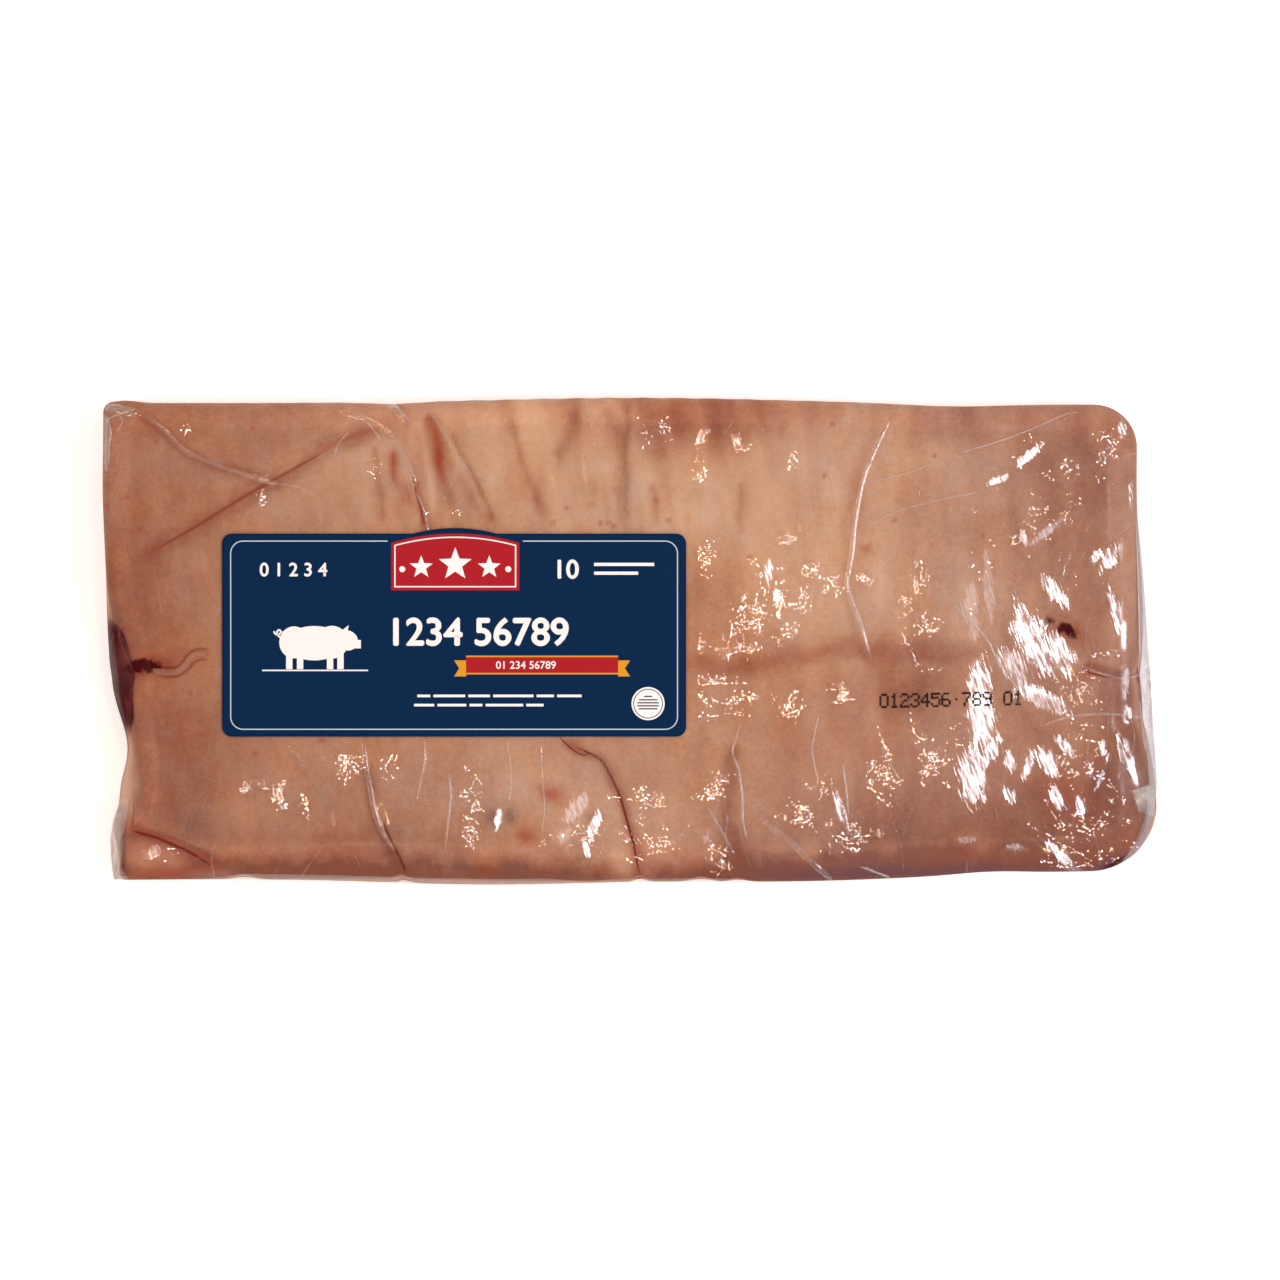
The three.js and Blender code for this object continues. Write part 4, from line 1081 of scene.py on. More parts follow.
# Folds of the gathered film: look, half width, thickness of haze, path. Their white haze is partly the
# double film's own milkiness and partly painted highlight.
FILM_FOLDS = [
    ("pair", 1.2, 0.2, [(132, 117), (127.5, 106), (121.5, 93.5), (117, 82.5), (114, 70), (112, 57.5),
        (111, 46), (109, 34), (108, 27), (111, 18), (115, 7.5), (118.5, -4), (120.5, -12.5)]),
    ("thread", 0.5, 0.45, [(161, 92.5), (175, 96.5), (189, 101), (202, 106), (218, 113), (225, 113.5)]),
    ("thread", 0.4, 0.4, [(115, 78), (135, 82.5), (156, 90)]),
    ("thread", 0.4, 0.4, [(117, 56), (138, 66), (177, 74.5)]),
    ("thread", 0.8, 0.45, [(160, 20), (166, 13), (173, 7), (179, -1), (184, -11), (191, -21),
        (200, -30)]),
    ("veil", 1.5, 0.07, [(-250, 115), (-243, 112), (-233, 104.5), (-225, 96), (-217, 91.5),
        (-204, 86.5), (-193, 83), (-181, 79), (-170, 77)]),
    ("thread", 0.5, 0.1, [(-226, 96), (-217, 91.5), (-204, 86.5), (-193, 83), (-181, 79), (-165, 76),
        (-152, 69)]),
    ("veil", 1.7, 0.1, [(-149, 115), (-139, 112.5), (-129, 108.5), (-121, 103), (-117, 97), (-113, 90),
        (-109, 81.5), (-107, 74)]),
    ("thread", 0.5, 0.12, [(-100, 114), (-96, 107.5), (-90, 97.5), (-84, 89), (-78, 80)]),
    ("thread", 0.5, 0.3, [(-132, 109.5), (-128, 104.5), (-125, 100)]),
    ("pair", 1.4, 0.26, [(-134, -49), (-133, -56), (-132, -65), (-130, -75), (-128, -86), (-124, -96),
        (-118, -105)]),
    ("thread", 0.8, 0.2, [(-103, -49), (-103, -60), (-105, -71), (-107, -80)]),
    ("thread", 0.8, 0.2, [(-91, -66), (-90, -77.5), (-91, -87.5), (-93, -104)]),
    ("veil", 2.0, 0.08, [(-172, -50), (-164, -62.5), (-159, -70), (-154, -78.5), (-150, -86),
        (-148, -93)]),
    ("thread", 0.6, 0.2, [(-62, -50), (-60, -62.5), (-60, -75), (-61, -81.5)]),
    ("thread", 0.6, 0.2, [(-45, -52.5), (-44, -70), (-43, -85), (-45, -100)]),
    ("thread", 0.7, 0.3, [(55, -41), (53, -49), (51, -56), (54, -65), (56, -80), (56, -92)]),
    ("thread", 0.6, 0.35, [(94, -37.5), (92, -47.5), (91, -56), (94, -72)]),
    ("pair", 1.3, 0.25, [(101, -73), (106, -85), (109, -97)]),
    ("veil", 1.6, 0.12, [(63, -87.5), (72, -95), (79, -100), (87, -108), (96, -116), (101, -120)]),
    ("thread", 0.7, 0.4, [(106, -62), (108, -75), (109, -87.5)]),
    ("thread", 0.7, 0.5, [(114, -113), (125, -117), (130, -119)]),
    ("thread", 0.6, 0.6, [(125, -52), (130, -62), (136, -72)]),
    ("thread", 0.7, 0.25, [(38, -82.5), (43, -91), (47, -98), (52, -107.5)]),
    ("thread", 0.7, 0.4, [(55, -86), (57, -94), (58, -99)]),
    ("thread", 0.7, 0.25, [(-107, 74), (-103, 64), (-101, 54)]),
    ("thread", 0.8, 0.2, [(226, -13), (236, -17), (246, -19), (257, -17)]),
    ("thread", 0.9, 0.2, [(205, -43), (222, -38), (240, -37), (256, -39)]),
    ("veil", 2.2, 0.2, [(-263.5, 116.5), (-258, 116), (-252, 114.5), (-247, 112)]),
    ("thread", 0.5, 0.45, [(-263, 109), (-258, 112), (-252, 114), (-247, 116)]),
    ("thread", 0.4, 0.4, [(-259, 117), (-256, 113), (-254, 109), (-257, 104)]),
    ("thread", 0.5, 0.3, [(-263, 113), (-260, 106), (-260.5, 98), (-261, 88)]),
    ("veil", 1.5, 0.14, [(-261.5, 112), (-261, 102), (-261.5, 94), (-262, 84)]),
    ("veil", 2.0, 0.16, [(-121, 118), (-117, 115), (-112, 108.5)]),
    ("thread", 0.5, 0.3, [(-119, 118), (-115, 114.5), (-110, 109)]),
    ("thread", 0.45, 0.25, [(-141, 104), (-146, 98), (-148, 92)]),
    # These two threads along the right end's edge are painted highlights: white haze drawn as the glint
    # along the belly's edge.
    ("thread", 0.4, 0.8, [(253, 62), (253.8, 40), (254.4, 20), (254.9, 4), (254.9, -8), (254, -17)]),
    ("thread", 0.4, 0.5, [(255, -30), (256.2, -42), (258, -56)]),
]
FOLD_LIFT, FOLD_HEIGHT = 0.06, 0.3

# Fine creases all over the film, most of them upright: how many, length, half width, thickness of haze.
# Their faint haze is partly painted sheen.
FINE_CREASES = {"count": 150, "length": (6, 26), "half": (0.2, 0.4), "haze": (0.03, 0.12)}


def fine_creases():
    """Paths of the fine creases, drawn at random, thicker towards the right and the front."""
    draw = np.random.default_rng(SEED + 2)
    found = []
    while len(found) < FINE_CREASES["count"]:
        x, y = draw.uniform(-245, 250), draw.uniform(-112, 112)
        wanted = 0.15 + 0.85 * smooth(np.array(x), 0, 140) + 0.4 * smooth(np.array(y), -40, -70)
        if draw.uniform(0, 1.4) > wanted:
            continue
        turn, length = draw.normal(-0.15, 0.35), draw.uniform(*FINE_CREASES["length"])
        ahead = np.array([-math.sin(turn), math.cos(turn)]) * length / 2
        bend = np.array([ahead[1], -ahead[0]]) * draw.normal(0, 0.12)
        middle = np.array([x, y])
        path = np.array([middle - ahead, middle + bend, middle + ahead])
        if np.max(under_label(path[:, 0], path[:, 1])) < 0.05:
            half, haze = draw.uniform(*FINE_CREASES["half"]), draw.uniform(*FINE_CREASES["haze"])
            found.append(("thread", half, haze, path))
    return found


def across_look(look, side):
    """How a fold's haze lies across it: a pair of lines, one thread, or a veil with edges."""
    away = np.abs(side)
    if look == "pair":
        return bell(away, 0.68, 0.24) + 0.12 * (1 - away)
    if look == "thread":
        return bell(away, 0, 0.5)
    return (0.55 + 0.6 * bell(away, 0.8, 0.2)) * smooth(away, 1.0, 0.9)


def make_film_folds(over_film):
    """Folds, threads and fine creases of the film, as low ridges that ride on it. Their haze is partly
    painted highlight and sheen.
    """
    grids = []
    for count, (look, half, haze, points) in enumerate(FILM_FOLDS + fine_creases()):
        x, y, share, side = band(points, half)
        lift = FOLD_LIFT + FOLD_HEIGHT * (1 - side**2) ** 2 * smooth(from_ends(share), 0, 0.2)
        uneven = 0.8 + 0.4 * soft_noise(share * 30, side * 0.6 + count * 3, 1.5, 1, 51)
        veil = haze * across_look(look, side) * uneven * smooth(from_ends(share), 0, 0.12)
        grids.append((x, y, over_film(x, y) + lift, np.clip(veil, 0, 1)))
    folds = make_joined("film_folds_and_painted_highlights", grids, folded_film("shrink film, gathered double, with painted highlights"))


# Slits where the skin is cut or folded shut: half width, darkness, path.
SLITS = [
    (0.8, 0.95, [(-28, -53), (-22, -56), (-15, -60), (-11, -66), (-8, -72), (-5, -79), (-3, -86),
        (-1, -93), (1, -100), (3, -110), (5, -119)]),
    (0.5, 0.8, [(-36, -48), (-30, -54), (-24, -57.5), (-20, -56)]),
    (0.8, 0.8, [(-124, -90), (-121.5, -97), (-118, -104), (-114, -112), (-112, -118)]),
    (1.0, 0.8, [(-250, -95.5), (-244, -97), (-237, -99), (-230, -102), (-223, -105), (-216, -109),
        (-210, -113)]),
    (0.5, 0.35, [(-249, -81), (-248.5, -86), (-249, -91), (-250, -95)]),
    (0.5, 0.9, [(226, -15), (232, -17), (240, -18.5), (248, -18), (256, -17)]),
    (1.1, 0.34, [(-237, -13), (-230, -14), (-225, -12.5), (-221, -7), (-216, -4.5), (-210, -5)]),
    (1.1, 0.34, [(-236, -17.4), (-231, -18.4), (-226, -17.8), (-221, -14.6), (-217, -10.5),
        (-211, -9.5)]),
    (0.5, 0.8, [(-257, 6), (-255, -2), (-251, -11), (-248, -17)]),
    (0.5, 0.5, [(-109, 82), (-107, 73), (-105, 66), (-103, 57)]),
    (1.0, 0.3, [(-240, 44), (-222, 54), (-205, 64.5), (-196, 70), (-186, 76), (-176, 81.5),
        (-165, 87.5), (-150, 96)]),
]
SLIT_LIFT = 0.14


def make_slits(over_belly):
    """Dark lines of shade, laid on the belly where its skin parts."""
    grids = []
    for half, dark, points in SLITS:
        x, y, share, side = band(points, half, steps=120, across=4)
        veil = dark * bell(side, 0, 0.7) * smooth(from_ends(share), 0, 0.1)
        grids.append((x, y, over_belly(x, y) + SLIT_LIFT, veil))
    slits = make_joined("skin_slits", grids, tinted("shaded meat inside a slit", "#7a2414"))


VEIN = [
    (-240, -14.5), (-235.8, -15.8), (-230, -16.2), (-226, -15.5), (-222.8, -12.4), (-218.8, -7.8),
    (-214, -7), (-210.8, -7),
]
VEIN_HALF, VEIN_LIFT, VEIN_RISE, VEIN_VEIL = 1.7, 0.05, 0.42, 0.85


def make_vein(over_belly):
    """A stub of vein lying in the skin's slit: a low rounded tube."""
    x, y, share, side = band(VEIN, VEIN_HALF)
    veil = VEIN_VEIL * smooth(from_ends(share), 0, 0.1)
    z = over_belly(x, y) + VEIN_LIFT + VEIN_RISE * np.sqrt(np.clip(1 - side**2, 0, 1))
    vein = make_joined("vein", [(x, y, z, veil)], tinted("pale vein wall, wet", "#a9735f", roughness=0.3))


# ---------------------------------------------------------------- the bag's sealed edges
MID_HEIGHT = 18.5  # where loose film leaves the sides
MOST_VEIL = 0.95

# The crimped seal beyond the right end: y, then its outer and inner x.
SEAL_EDGE = [
    (62, 254.2, 253.4), (40, 256.6, 253.8), (20, 258.1, 254.4), (0, 259.4, 254.8), (-20, 260.9, 255),
    (-40, 261.9, 256.4), (-52, 262.8, 258), (-60, 263.4, 259), (-72, 264.1, 259.6), (-80, 263.2, 258.6),
    (-90, 261.2, 257), (-100, 258, 253), (-106, 254.6, 249.5), (-112, 248, 245),
]
CRIMP = {"pitch": 1.6, "tooth": 0.25, "rise": 0.12}

# The slack film beyond the flap at the left end, in the same way.
SLACK_CORNER = [
    (-80, -255.6, -252), (-86, -258, -252), (-92, -259.8, -253), (-100, -261, -254),
    (-107, -260.6, -253.5), (-113, -259.9, -254), (-117, -259.4, -253), (-120.6, -258.9, -251),
]
STRIP_LIFT, STRIP_EASING = 0.2, 60

# Slack gathered along the outline: edge, from and to along it, how deep, thickness of haze.
GATHERED = [("front", -214, -20, 3.0, 0.35), ("front", -20, 60, 1.8, 0.2), ("left", 92, 118, 2.0, 0.3)]
GATHERED_LIFT, GATHERED_SETBACK = 0.12, 0.3
OUTLINE_CELLS = (208, 104, 8)


def outline(edge, low, high, steps):
    """Points of the bag's outline along its front or left edge, from low to high along it."""
    x, y, *_ = wrap_sheet(*OUTLINE_CELLS, depth_share=FILM_DEPTH_SHARE)
    rim = OUTLINE_CELLS[2] // 2
    line = (x[:, rim], y[:, rim]) if edge == "front" else (x[rim], y[rim])
    order = line[0] if edge == "front" else line[1]
    at = np.linspace(low, high, steps)
    return np.stack([np.interp(at, order, line[0]), np.interp(at, order, line[1])], -1)


def edge_strip(edge, low, high, depth, steps=140, across=8):
    """A strip of film from the outline in by depth: x, y, share along it, and place across."""
    rim = outline(edge, low, high, steps)
    share, side = np.meshgrid(np.linspace(0, 1, steps), np.linspace(0, 1, across), indexing="ij")
    reach = GATHERED_SETBACK + depth * (0.25 + 0.75 * smooth(from_ends(share), 0, 0.12)) * side
    x = rim[:, :1] - OUTWARD[edge][0] * reach
    y = rim[:, 1:] - OUTWARD[edge][1] * reach
    return x, y, share, side


def crimped(y):
    """The crimp's teeth at places along the seal, from -1 to 1."""
    return np.sin(y * 2 * math.pi / CRIMP["pitch"])


def strip_between(rows, over_film, crimp=0.0):
    """A strip over the bag from an outer to an inner edge: x, y, z, share along it, and place across."""
    share, side = np.meshgrid(np.linspace(0, 1, 240), np.linspace(0, 1, 9), indexing="ij")
    y = rows[0][0] + (rows[-1][0] - rows[0][0]) * share
    table = np.array(rows, float)[::-1].T
    outer, inner = np.interp(y, table[0], table[1]), np.interp(y, table[0], table[2])
    teeth = crimp * crimped(y)
    x = outer + CRIMP["tooth"] * teeth * (1 - side) ** 4 + (inner - outer) * side
    under = over_film(x, y)
    z = np.where(under > 0, under + STRIP_LIFT, MID_HEIGHT)
    eased = z.copy()
    for _ in range(STRIP_EASING):
        eased[1:-1] = (eased[:-2] + 2 * eased[1:-1] + eased[2:]) / 4
    return x, y, np.maximum(z, eased) + CRIMP["rise"] * teeth, share, side


def make_seal_strip(over_film):
    """The crimped heat seal along the right end."""
    x, y, z, share, side = strip_between(SEAL_EDGE, over_film, crimp=1.0)
    veil = 0.82 + 0.08 * crimped(y) - 0.4 * side
    veil = veil * (0.9 + 0.2 * soft_noise(x, y, 2, 6, 61)) * (1 - 0.4 * smooth(y, -84, -96))
    veil = veil * smooth(from_ends(share), 0, 0.03)
    grids = [(x, y, z, np.clip(veil, 0, MOST_VEIL))]
    make_joined("seal_strip", grids, folded_film("heat-sealed film edge, crimped", "#a99da2"))


def make_film_slack(over_film):
    """The bag's slack film, gathered along the other edges and at the lower left corner."""
    grids = []
    for count, (edge, low, high, depth, haze) in enumerate(GATHERED):
        x, y, share, side = edge_strip(edge, low, high, depth)
        streak = soft_noise(x + 40 * count, y * 6, 9, 3, 64) + 0.5 * soft_noise(x, y * 8, 4, 3, 65)
        veil = haze * (0.8 + 0.5 * streak) * smooth(from_ends(share), 0, 0.2) * smooth(side, 1.0, 0.15)
        grids.append((x, y, over_film(x, y) + GATHERED_LIFT, np.clip(veil, 0, MOST_VEIL)))
    x, y, z, share, side = strip_between(SLACK_CORNER, over_film)
    streak = soft_noise(x, y, 3, 9, 66) + 0.5 * soft_noise(x, y, 1.2, 5, 67)
    veil = (0.85 + 0.2 * streak) * smooth(share, 0, 0.2) * smooth(share, 1, 0.97)
    grids.append((x, y, z, np.clip(veil * smooth(side, 1.0, 0.45), 0, MOST_VEIL)))
    make_joined("film_slack", grids, folded_film("slack film gathered at the edge", "#b39a8e"))


# The tab's corners, from its inner back one round to its inner front one, and its ribs.
TAB = {
    "corners": [(250.2, -75.2), (263.6, -71), (261.6, -88), (254, -86)],
    "pitch": 1.7, "rise": 0.15, "lift": 0.4, "haze": 0.5,
}


def make_seal_tab(over_film):
    """A ribbed corner of the seal, folded back on the bag."""
    u, v = np.meshgrid(np.linspace(0, 1, 25), np.linspace(0, 1, 41), indexing="ij")
    a, b, c, d = [np.array(corner) for corner in TAB["corners"]]
    back, front = a + (b - a) * u[..., None], d + (c - d) * u[..., None]
    x, y = np.moveaxis(back + (front - back) * v[..., None], -1, 0)
    under = over_film(x, y)
    ribs = TAB["rise"] * np.sin(y / TAB["pitch"] * 2 * math.pi)
    z = np.where(under > 0, under, MID_HEIGHT) + TAB["lift"] + ribs
    veil = TAB["haze"] * smooth(from_ends(u), 0, 0.08) * smooth(v, 0, 0.05) * smooth(v, 1, 0.5)
    veil = veil * (1 + 0.35 * soft_noise(x, y, 2, 3, 71))
    gathered = folded_film("ribbed seal corner, folded back", "#d0c5c2")
    tab = make_joined("seal_tab", [(x, y, z, veil)], gathered)


# ---------------------------------------------------------------- the label
LABEL_CELLS = (140, 60)
LABEL_ROUNDED_FROM = 0.7
PRINT_LAYER = 0.07  # each layer of ink is drawn this far above the last, so that it covers it
PRINT_CELL = 3.0  # print is cut finer than this, to lie on the curved label


def label_sheet(along, across, lift):
    """Points of the label, lift above the skin's smooth height, as (i, j) arrays."""
    i, j = np.meshgrid(np.arange(along + 1), np.arange(across + 1), indexing="ij")
    size, dir_x, dir_y = square_rim(2 * i / along - 1, 2 * j / across - 1)
    rounding = np.maximum(LABEL["radius"] * smooth(size, LABEL_ROUNDED_FROM, 1), 1e-6)
    half_x, half_y = LABEL["width"] / 2, LABEL["height"] / 2
    x, y, _, _ = rim_point(dir_x, dir_y, size * half_x, size * half_y, rounding)
    arch = ARCH["rise"] * np.maximum(0, 1 - ((x + LABEL["x"] - ARCH["at"]) / ARCH["half"]) ** 2)
    x, y = x + LABEL["x"], y + LABEL["y"] + arch * smooth(y, 0, half_y)
    return x, y, base_height(x, y) + LABEL_GAP + lift


def make_label():
    """The label's paper: a closed sheet that follows the slab's smooth height."""
    face, back = label_sheet(*LABEL_CELLS, LABEL["thickness"]), label_sheet(*LABEL_CELLS, 0)
    rows, columns = face[0].shape
    rim, below = rim_loop(rows, columns), rows * columns
    faces = sheet_faces(rows, columns)
    faces += [[below + corner for corner in quad] for quad in sheet_faces(rows, columns, flip=True)]
    for a, b in zip(rim, rim[1:] + rim[:1]):
        faces.append([below + a, below + b, b, a])
    points = np.concatenate([place(*face).reshape(-1, 3), place(*back).reshape(-1, 3)])
    label = make_piece("label", points, faces, printed_ink("coated label paper, printed navy", "#0a284c"))
    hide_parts("label")


class Prints:
    """Flat printed shapes on the label, gathered by ink. u and v are mm from the label's middle."""

    def __init__(self):
        self.shapes = {}

    def shape(self, ink, points, faces, layer):
        """Adds flat faces, halved until their sides are shorter than PRINT_CELL."""
        p, cut = [tuple(q) for q in points], []
        left = [(f[0], f[k], f[k + 1]) for f in faces for k in range(1, len(f) - 1)]
        while left:
            corners = left.pop()
            sides = [math.dist(p[corners[k]], p[corners[(k + 1) % 3]]) for k in range(3)]
            k = sides.index(max(sides))
            if sides[k] <= PRINT_CELL:
                cut.append(list(corners))
                continue
            a, b, c = corners[k], corners[(k + 1) % 3], corners[(k + 2) % 3]
            p.append(((p[a][0] + p[b][0]) / 2, (p[a][1] + p[b][1]) / 2))
            left += [(a, len(p) - 1, c), (len(p) - 1, b, c)]
        self.shapes.setdefault(ink, []).append((np.array(p, float), cut, layer))

    def fan(self, ink, middle, rim, layer):
        """The field inside a rim, as a fan of triangles round its middle."""
        faces = [[0, k + 1, (k + 1) % len(rim) + 1] for k in range(len(rim))]
        self.shape(ink, [middle, *rim], faces, layer)

    def strip(self, ink, left, right, low, high, layer=1, steps=24, rows=6):
        """The field between a low and a high edge. The high one is a function of u or a number."""
        u = np.linspace(left, right, steps + 1)[:, None] + np.zeros(rows + 1)
        t = np.linspace(0, 1, rows + 1)[None, :]
        top = high(u) if callable(high) else np.full(u.shape, float(high))
        v = low * (1 - t) + top * t
        self.shape(ink, np.stack([u, v], -1).reshape(-1, 2), sheet_faces(*u.shape), layer)

    def line(self, ink, points, half, layer=1):
        """A line of even width through points, its corners cut square."""
        p = np.array(points, float)
        ahead = np.gradient(p, axis=0)
        ahead /= np.hypot(ahead[:, 0], ahead[:, 1])[:, None]
        left = np.stack([-ahead[:, 1], ahead[:, 0]], -1) * half
        both = np.stack([p - left, p + left], 1)
        self.shape(ink, both.reshape(-1, 2), sheet_faces(len(p), 2), layer)

    def disc(self, ink, u, v, radius_u, radius_v=None, layer=1, turn=0.0, corners=40):
        """A disc, or an oval turned by degrees."""
        a = np.linspace(0, 2 * math.pi, corners, endpoint=False)
        c, s = math.cos(math.radians(turn)), math.sin(math.radians(turn))
        ex, ey = radius_u * np.cos(a), (radius_v or radius_u) * np.sin(a)
        self.fan(ink, (u, v), np.stack([u + ex * c - ey * s, v + ex * s + ey * c], -1), layer)

    def star(self, ink, u, v, radius, layer=1, points=5, waist=0.42):
        """A star with one point up."""
        rim = []
        for k in range(2 * points):
            r = radius if k % 2 == 0 else radius * waist
            a = math.pi / 2 + k * math.pi / points
            rim.append((u + r * math.cos(a), v + r * math.sin(a)))
        self.fan(ink, (u, v), rim, layer)

    def figures(self, ink, text, left, low, height, layer=1, bold=0.02):
        """Plain figures in Blender's own letters, laid four times with small shifts to make them bold."""
        curve = bpy.data.curves.new("figures", "FONT")
        curve.body = text
        writer = bpy.data.objects.new("figures", curve)
        mesh = bpy.data.meshes.new_from_object(writer)
        p = np.array([v.co[:2] for v in mesh.vertices])
        scale = height / (p[:, 1].max() - p[:, 1].min())
        p = (p - p.min(0)) * scale + (left, low)
        faces = [list(f.vertices) for f in mesh.polygons]
        bpy.data.objects.remove(writer)
        bpy.data.meshes.remove(mesh)
        for k, shift in enumerate(((-1, 0), (1, 0), (0, -1), (0, 1))):
            self.shape(ink, p + np.array(shift) * bold * height, faces, layer + 0.2 * k)

    def make(self, inks):
        """One piece for each ink, laid on the label's face."""
        for ink, (name, material_name, hex_colour) in inks.items():
            points, faces, start = [], [], 0
            for p, shape_faces, layer in self.shapes[ink]:
                x, y = p[:, 0] + LABEL["x"], p[:, 1] + LABEL["y"]
                top = base_height(x, y) + LABEL_GAP + LABEL["thickness"]
                points.append(place(x, y, top + PRINT_LAYER * layer))
                faces += [[start + corner for corner in face] for face in shape_faces]
                start += len(p)
            material = printed_ink(material_name, hex_colour)
            piece = make_piece(name, np.concatenate(points), faces, material)


# The print's places, in mm from the label's middle.
KEYLINE = {"inset_u": 4.3, "inset_v": 3.7, "radius": 6.2, "half": 0.26, "step": 6, "gap": 1.8}
PLAQUE = {"at": 0.6, "half": 32, "low": 22.4, "high": 46.2, "arch": 4.6}
PIG = {"u": -70, "v": -4, "legs": (-14, -8.6, 6.4, 11.6)}
RIBBON = {"left": 6, "right": 82, "gold": (-19.6, -10.2), "red": (-18.8, -11.0)}
SMALL_PRINT = {
    "rows": [(-31, (0, 9, 22, 15, 28, 12, 17)), (-35.6, (14, 20, 9, 26, 12))],
    "left": -20.0, "scale": 0.72, "gap": 1.6, "tall": 1.3,
}
SEAL = {"u": 97, "v": -34.2, "bars": ((3.6, 2.0), (1.9, 4.6), (0.4, 5.4), (-1.1, 5.4), (-2.6, 4.6))}


def print_keyline(prints):
    """A fine line round the label with rounded corners, open behind the plaque."""
    half_u, half_v = LABEL["width"] / 2 - KEYLINE["inset_u"], LABEL["height"] / 2 - KEYLINE["inset_v"]
    radius, gap = KEYLINE["radius"], PLAQUE["half"] + KEYLINE["gap"]
    path = [(PLAQUE["at"] + gap, half_v)]
    for cu, cv, start in ((1, 1, 90), (1, -1, 0), (-1, -1, -90), (-1, 1, -180)):
        for k in range(11):
            a = math.radians(start - 9 * k)
            corner = cu * (half_u - radius), cv * (half_v - radius)
            path.append((corner[0] + radius * math.cos(a), corner[1] + radius * math.sin(a)))
    path.append((PLAQUE["at"] - gap, half_v))
    dense = [path[0]]
    for a, b in zip(path[:-1], path[1:]):
        count = max(1, int(math.dist(a, b) / KEYLINE["step"]))
        for k in range(1, count + 1):
            dense.append((a[0] + (b[0] - a[0]) * k / count, a[1] + (b[1] - a[1]) * k / count))
    prints.line("line", dense, KEYLINE["half"])


def print_plaque(prints):
    """A red plaque with a white line in it and three stars, under the label's arch."""
    at, half = PLAQUE["at"], PLAQUE["half"]
    for layer, (ink, inset) in enumerate((("red", 0), ("white", 1.5), ("red", 2.2)), 1):
        def top(u):
            return PLAQUE["high"] - inset + PLAQUE["arch"] * (1 - ((u - at) / half) ** 2)

        prints.strip(ink, at - half + inset, at + half - inset, PLAQUE["low"] + inset, top, layer, 40, 10)
    prints.star("white", at, 35.4, 8.6, 4)
    for side in (-1, 1):
        prints.star("white", at + side * 17, 34, 6, 4)
        prints.disc("white", at + side * 26.5, 33, 1.5, layer=4)


def print_pig(prints):
    """A pig, seen from its right, on a ground line: plain ovals, legs, an ear and a curled tail."""
    u, v = PIG["u"], PIG["v"]
    prints.disc("white", u, v, 15.0, 8.6)
    prints.disc("white", u + 9, v + 0.5, 8.0, 8.2, layer=1.2)
    prints.disc("white", u - 10, v + 0.4, 7.4, 8.0, layer=1.4)
    prints.disc("white", u + 16.4, v + 1.4, 5.6, 5.0, layer=1.6, turn=-20)
    prints.strip("white", u + 18, u + 23.4, v - 2.6, v + 1.6, 1.8, 4, 2)
    prints.shape("white", [(u + 12, v + 5), (u + 16.5, v + 4.6), (u + 17.4, v + 9)], [[0, 1, 2]], 2)
    for leg in PIG["legs"]:
        prints.strip("white", u + leg, u + leg + 3.2, v - 13, v - 4, 2.2, 2, 3)
    tail = []
    for t in np.linspace(0, 2, 24):
        tail.append((u - 16 - 1.4 * t + 1.3 * math.sin(5.5 * t), v + 4 + 1.5 * math.cos(5.5 * t) + t))
    prints.line("white", tail, 0.45)
    prints.line("white", [(u - 26, v - 13.6), (u, v - 13.6), (u + 27, v - 13.6)], 0.35)


def print_ribbon(prints):
    """A red band with gold edges and forked gold ends, and small figures on it."""
    left, right = RIBBON["left"], RIBBON["right"]
    prints.strip("gold", left, right, *RIBBON["gold"], 1, 20, 3)
    prints.strip("red", left, right, *RIBBON["red"], 2, 20, 3)
    prints.figures("white", "01 234 56789", 21, -16.8, 3.8, 3)
    fork = [[0, 1, 2], [0, 2, 4], [2, 3, 4]]
    for side, u, faces in ((-1, left, [face[::-1] for face in fork]), (1, right, fork)):
        tip, notch = u + side * 6, u + side * 3.4
        tail = [(u, -20.6), (tip, -20.6), (notch, -16.6), (tip, -12.6), (u, -12.6)]
        prints.shape("gold", tail, faces, 0.6)


def print_label():
    """Everything printed on the label: generic shapes and plain figures, in five inks."""
    prints = Prints()
    print_keyline(prints)
    print_plaque(prints)
    print_pig(prints)
    prints.figures("white", "1234 56789", -30, -5, 13.4, bold=0.035)
    prints.figures("white", "0 1 2 3 4", -97, 29.5, 6.6, bold=0.03)
    prints.figures("white", "10", 52, 28.4, 9.2, bold=0.03)
    for v, length in ((34.6, 30), (30.2, 22)):
        prints.strip("white", 70, 70 + length, v, v + 1.6, steps=4, rows=1)
    print_ribbon(prints)

    # Small print as fine bars.
    for v, lengths in SMALL_PRINT["rows"]:
        u = SMALL_PRINT["left"]
        for length in lengths:
            width = length * SMALL_PRINT["scale"]
            prints.strip("white", u, u + width, v, v + SMALL_PRINT["tall"], steps=3, rows=1)
            u += width + SMALL_PRINT["gap"]

    # A round white seal with a navy ring and bars.
    for layer, (ink, radius) in enumerate((("white", 8.3), ("navy", 7.4), ("white", 7.0)), 1):
        prints.disc(ink, SEAL["u"], SEAL["v"], radius, layer=layer, corners=64)
    for v, half in SEAL["bars"]:
        mid = SEAL["v"] + v
        prints.strip("navy", SEAL["u"] - half, SEAL["u"] + half, mid - 0.3, mid + 0.3, 4, 3, 1)

    prints.make({
        "line": ("label_keyline", "pale blue line, printed", "#c4d2df"),
        "red": ("label_red", "flat red ink", "#a9222c"),
        "white": ("label_white", "unprinted white of the paper", "#f2f3f5"),
        "gold": ("label_gold", "flat gold ink", "#d99a2c"),
        "navy": ("label_navy", "navy ink, printed fine", "#0f2c50"),
    })


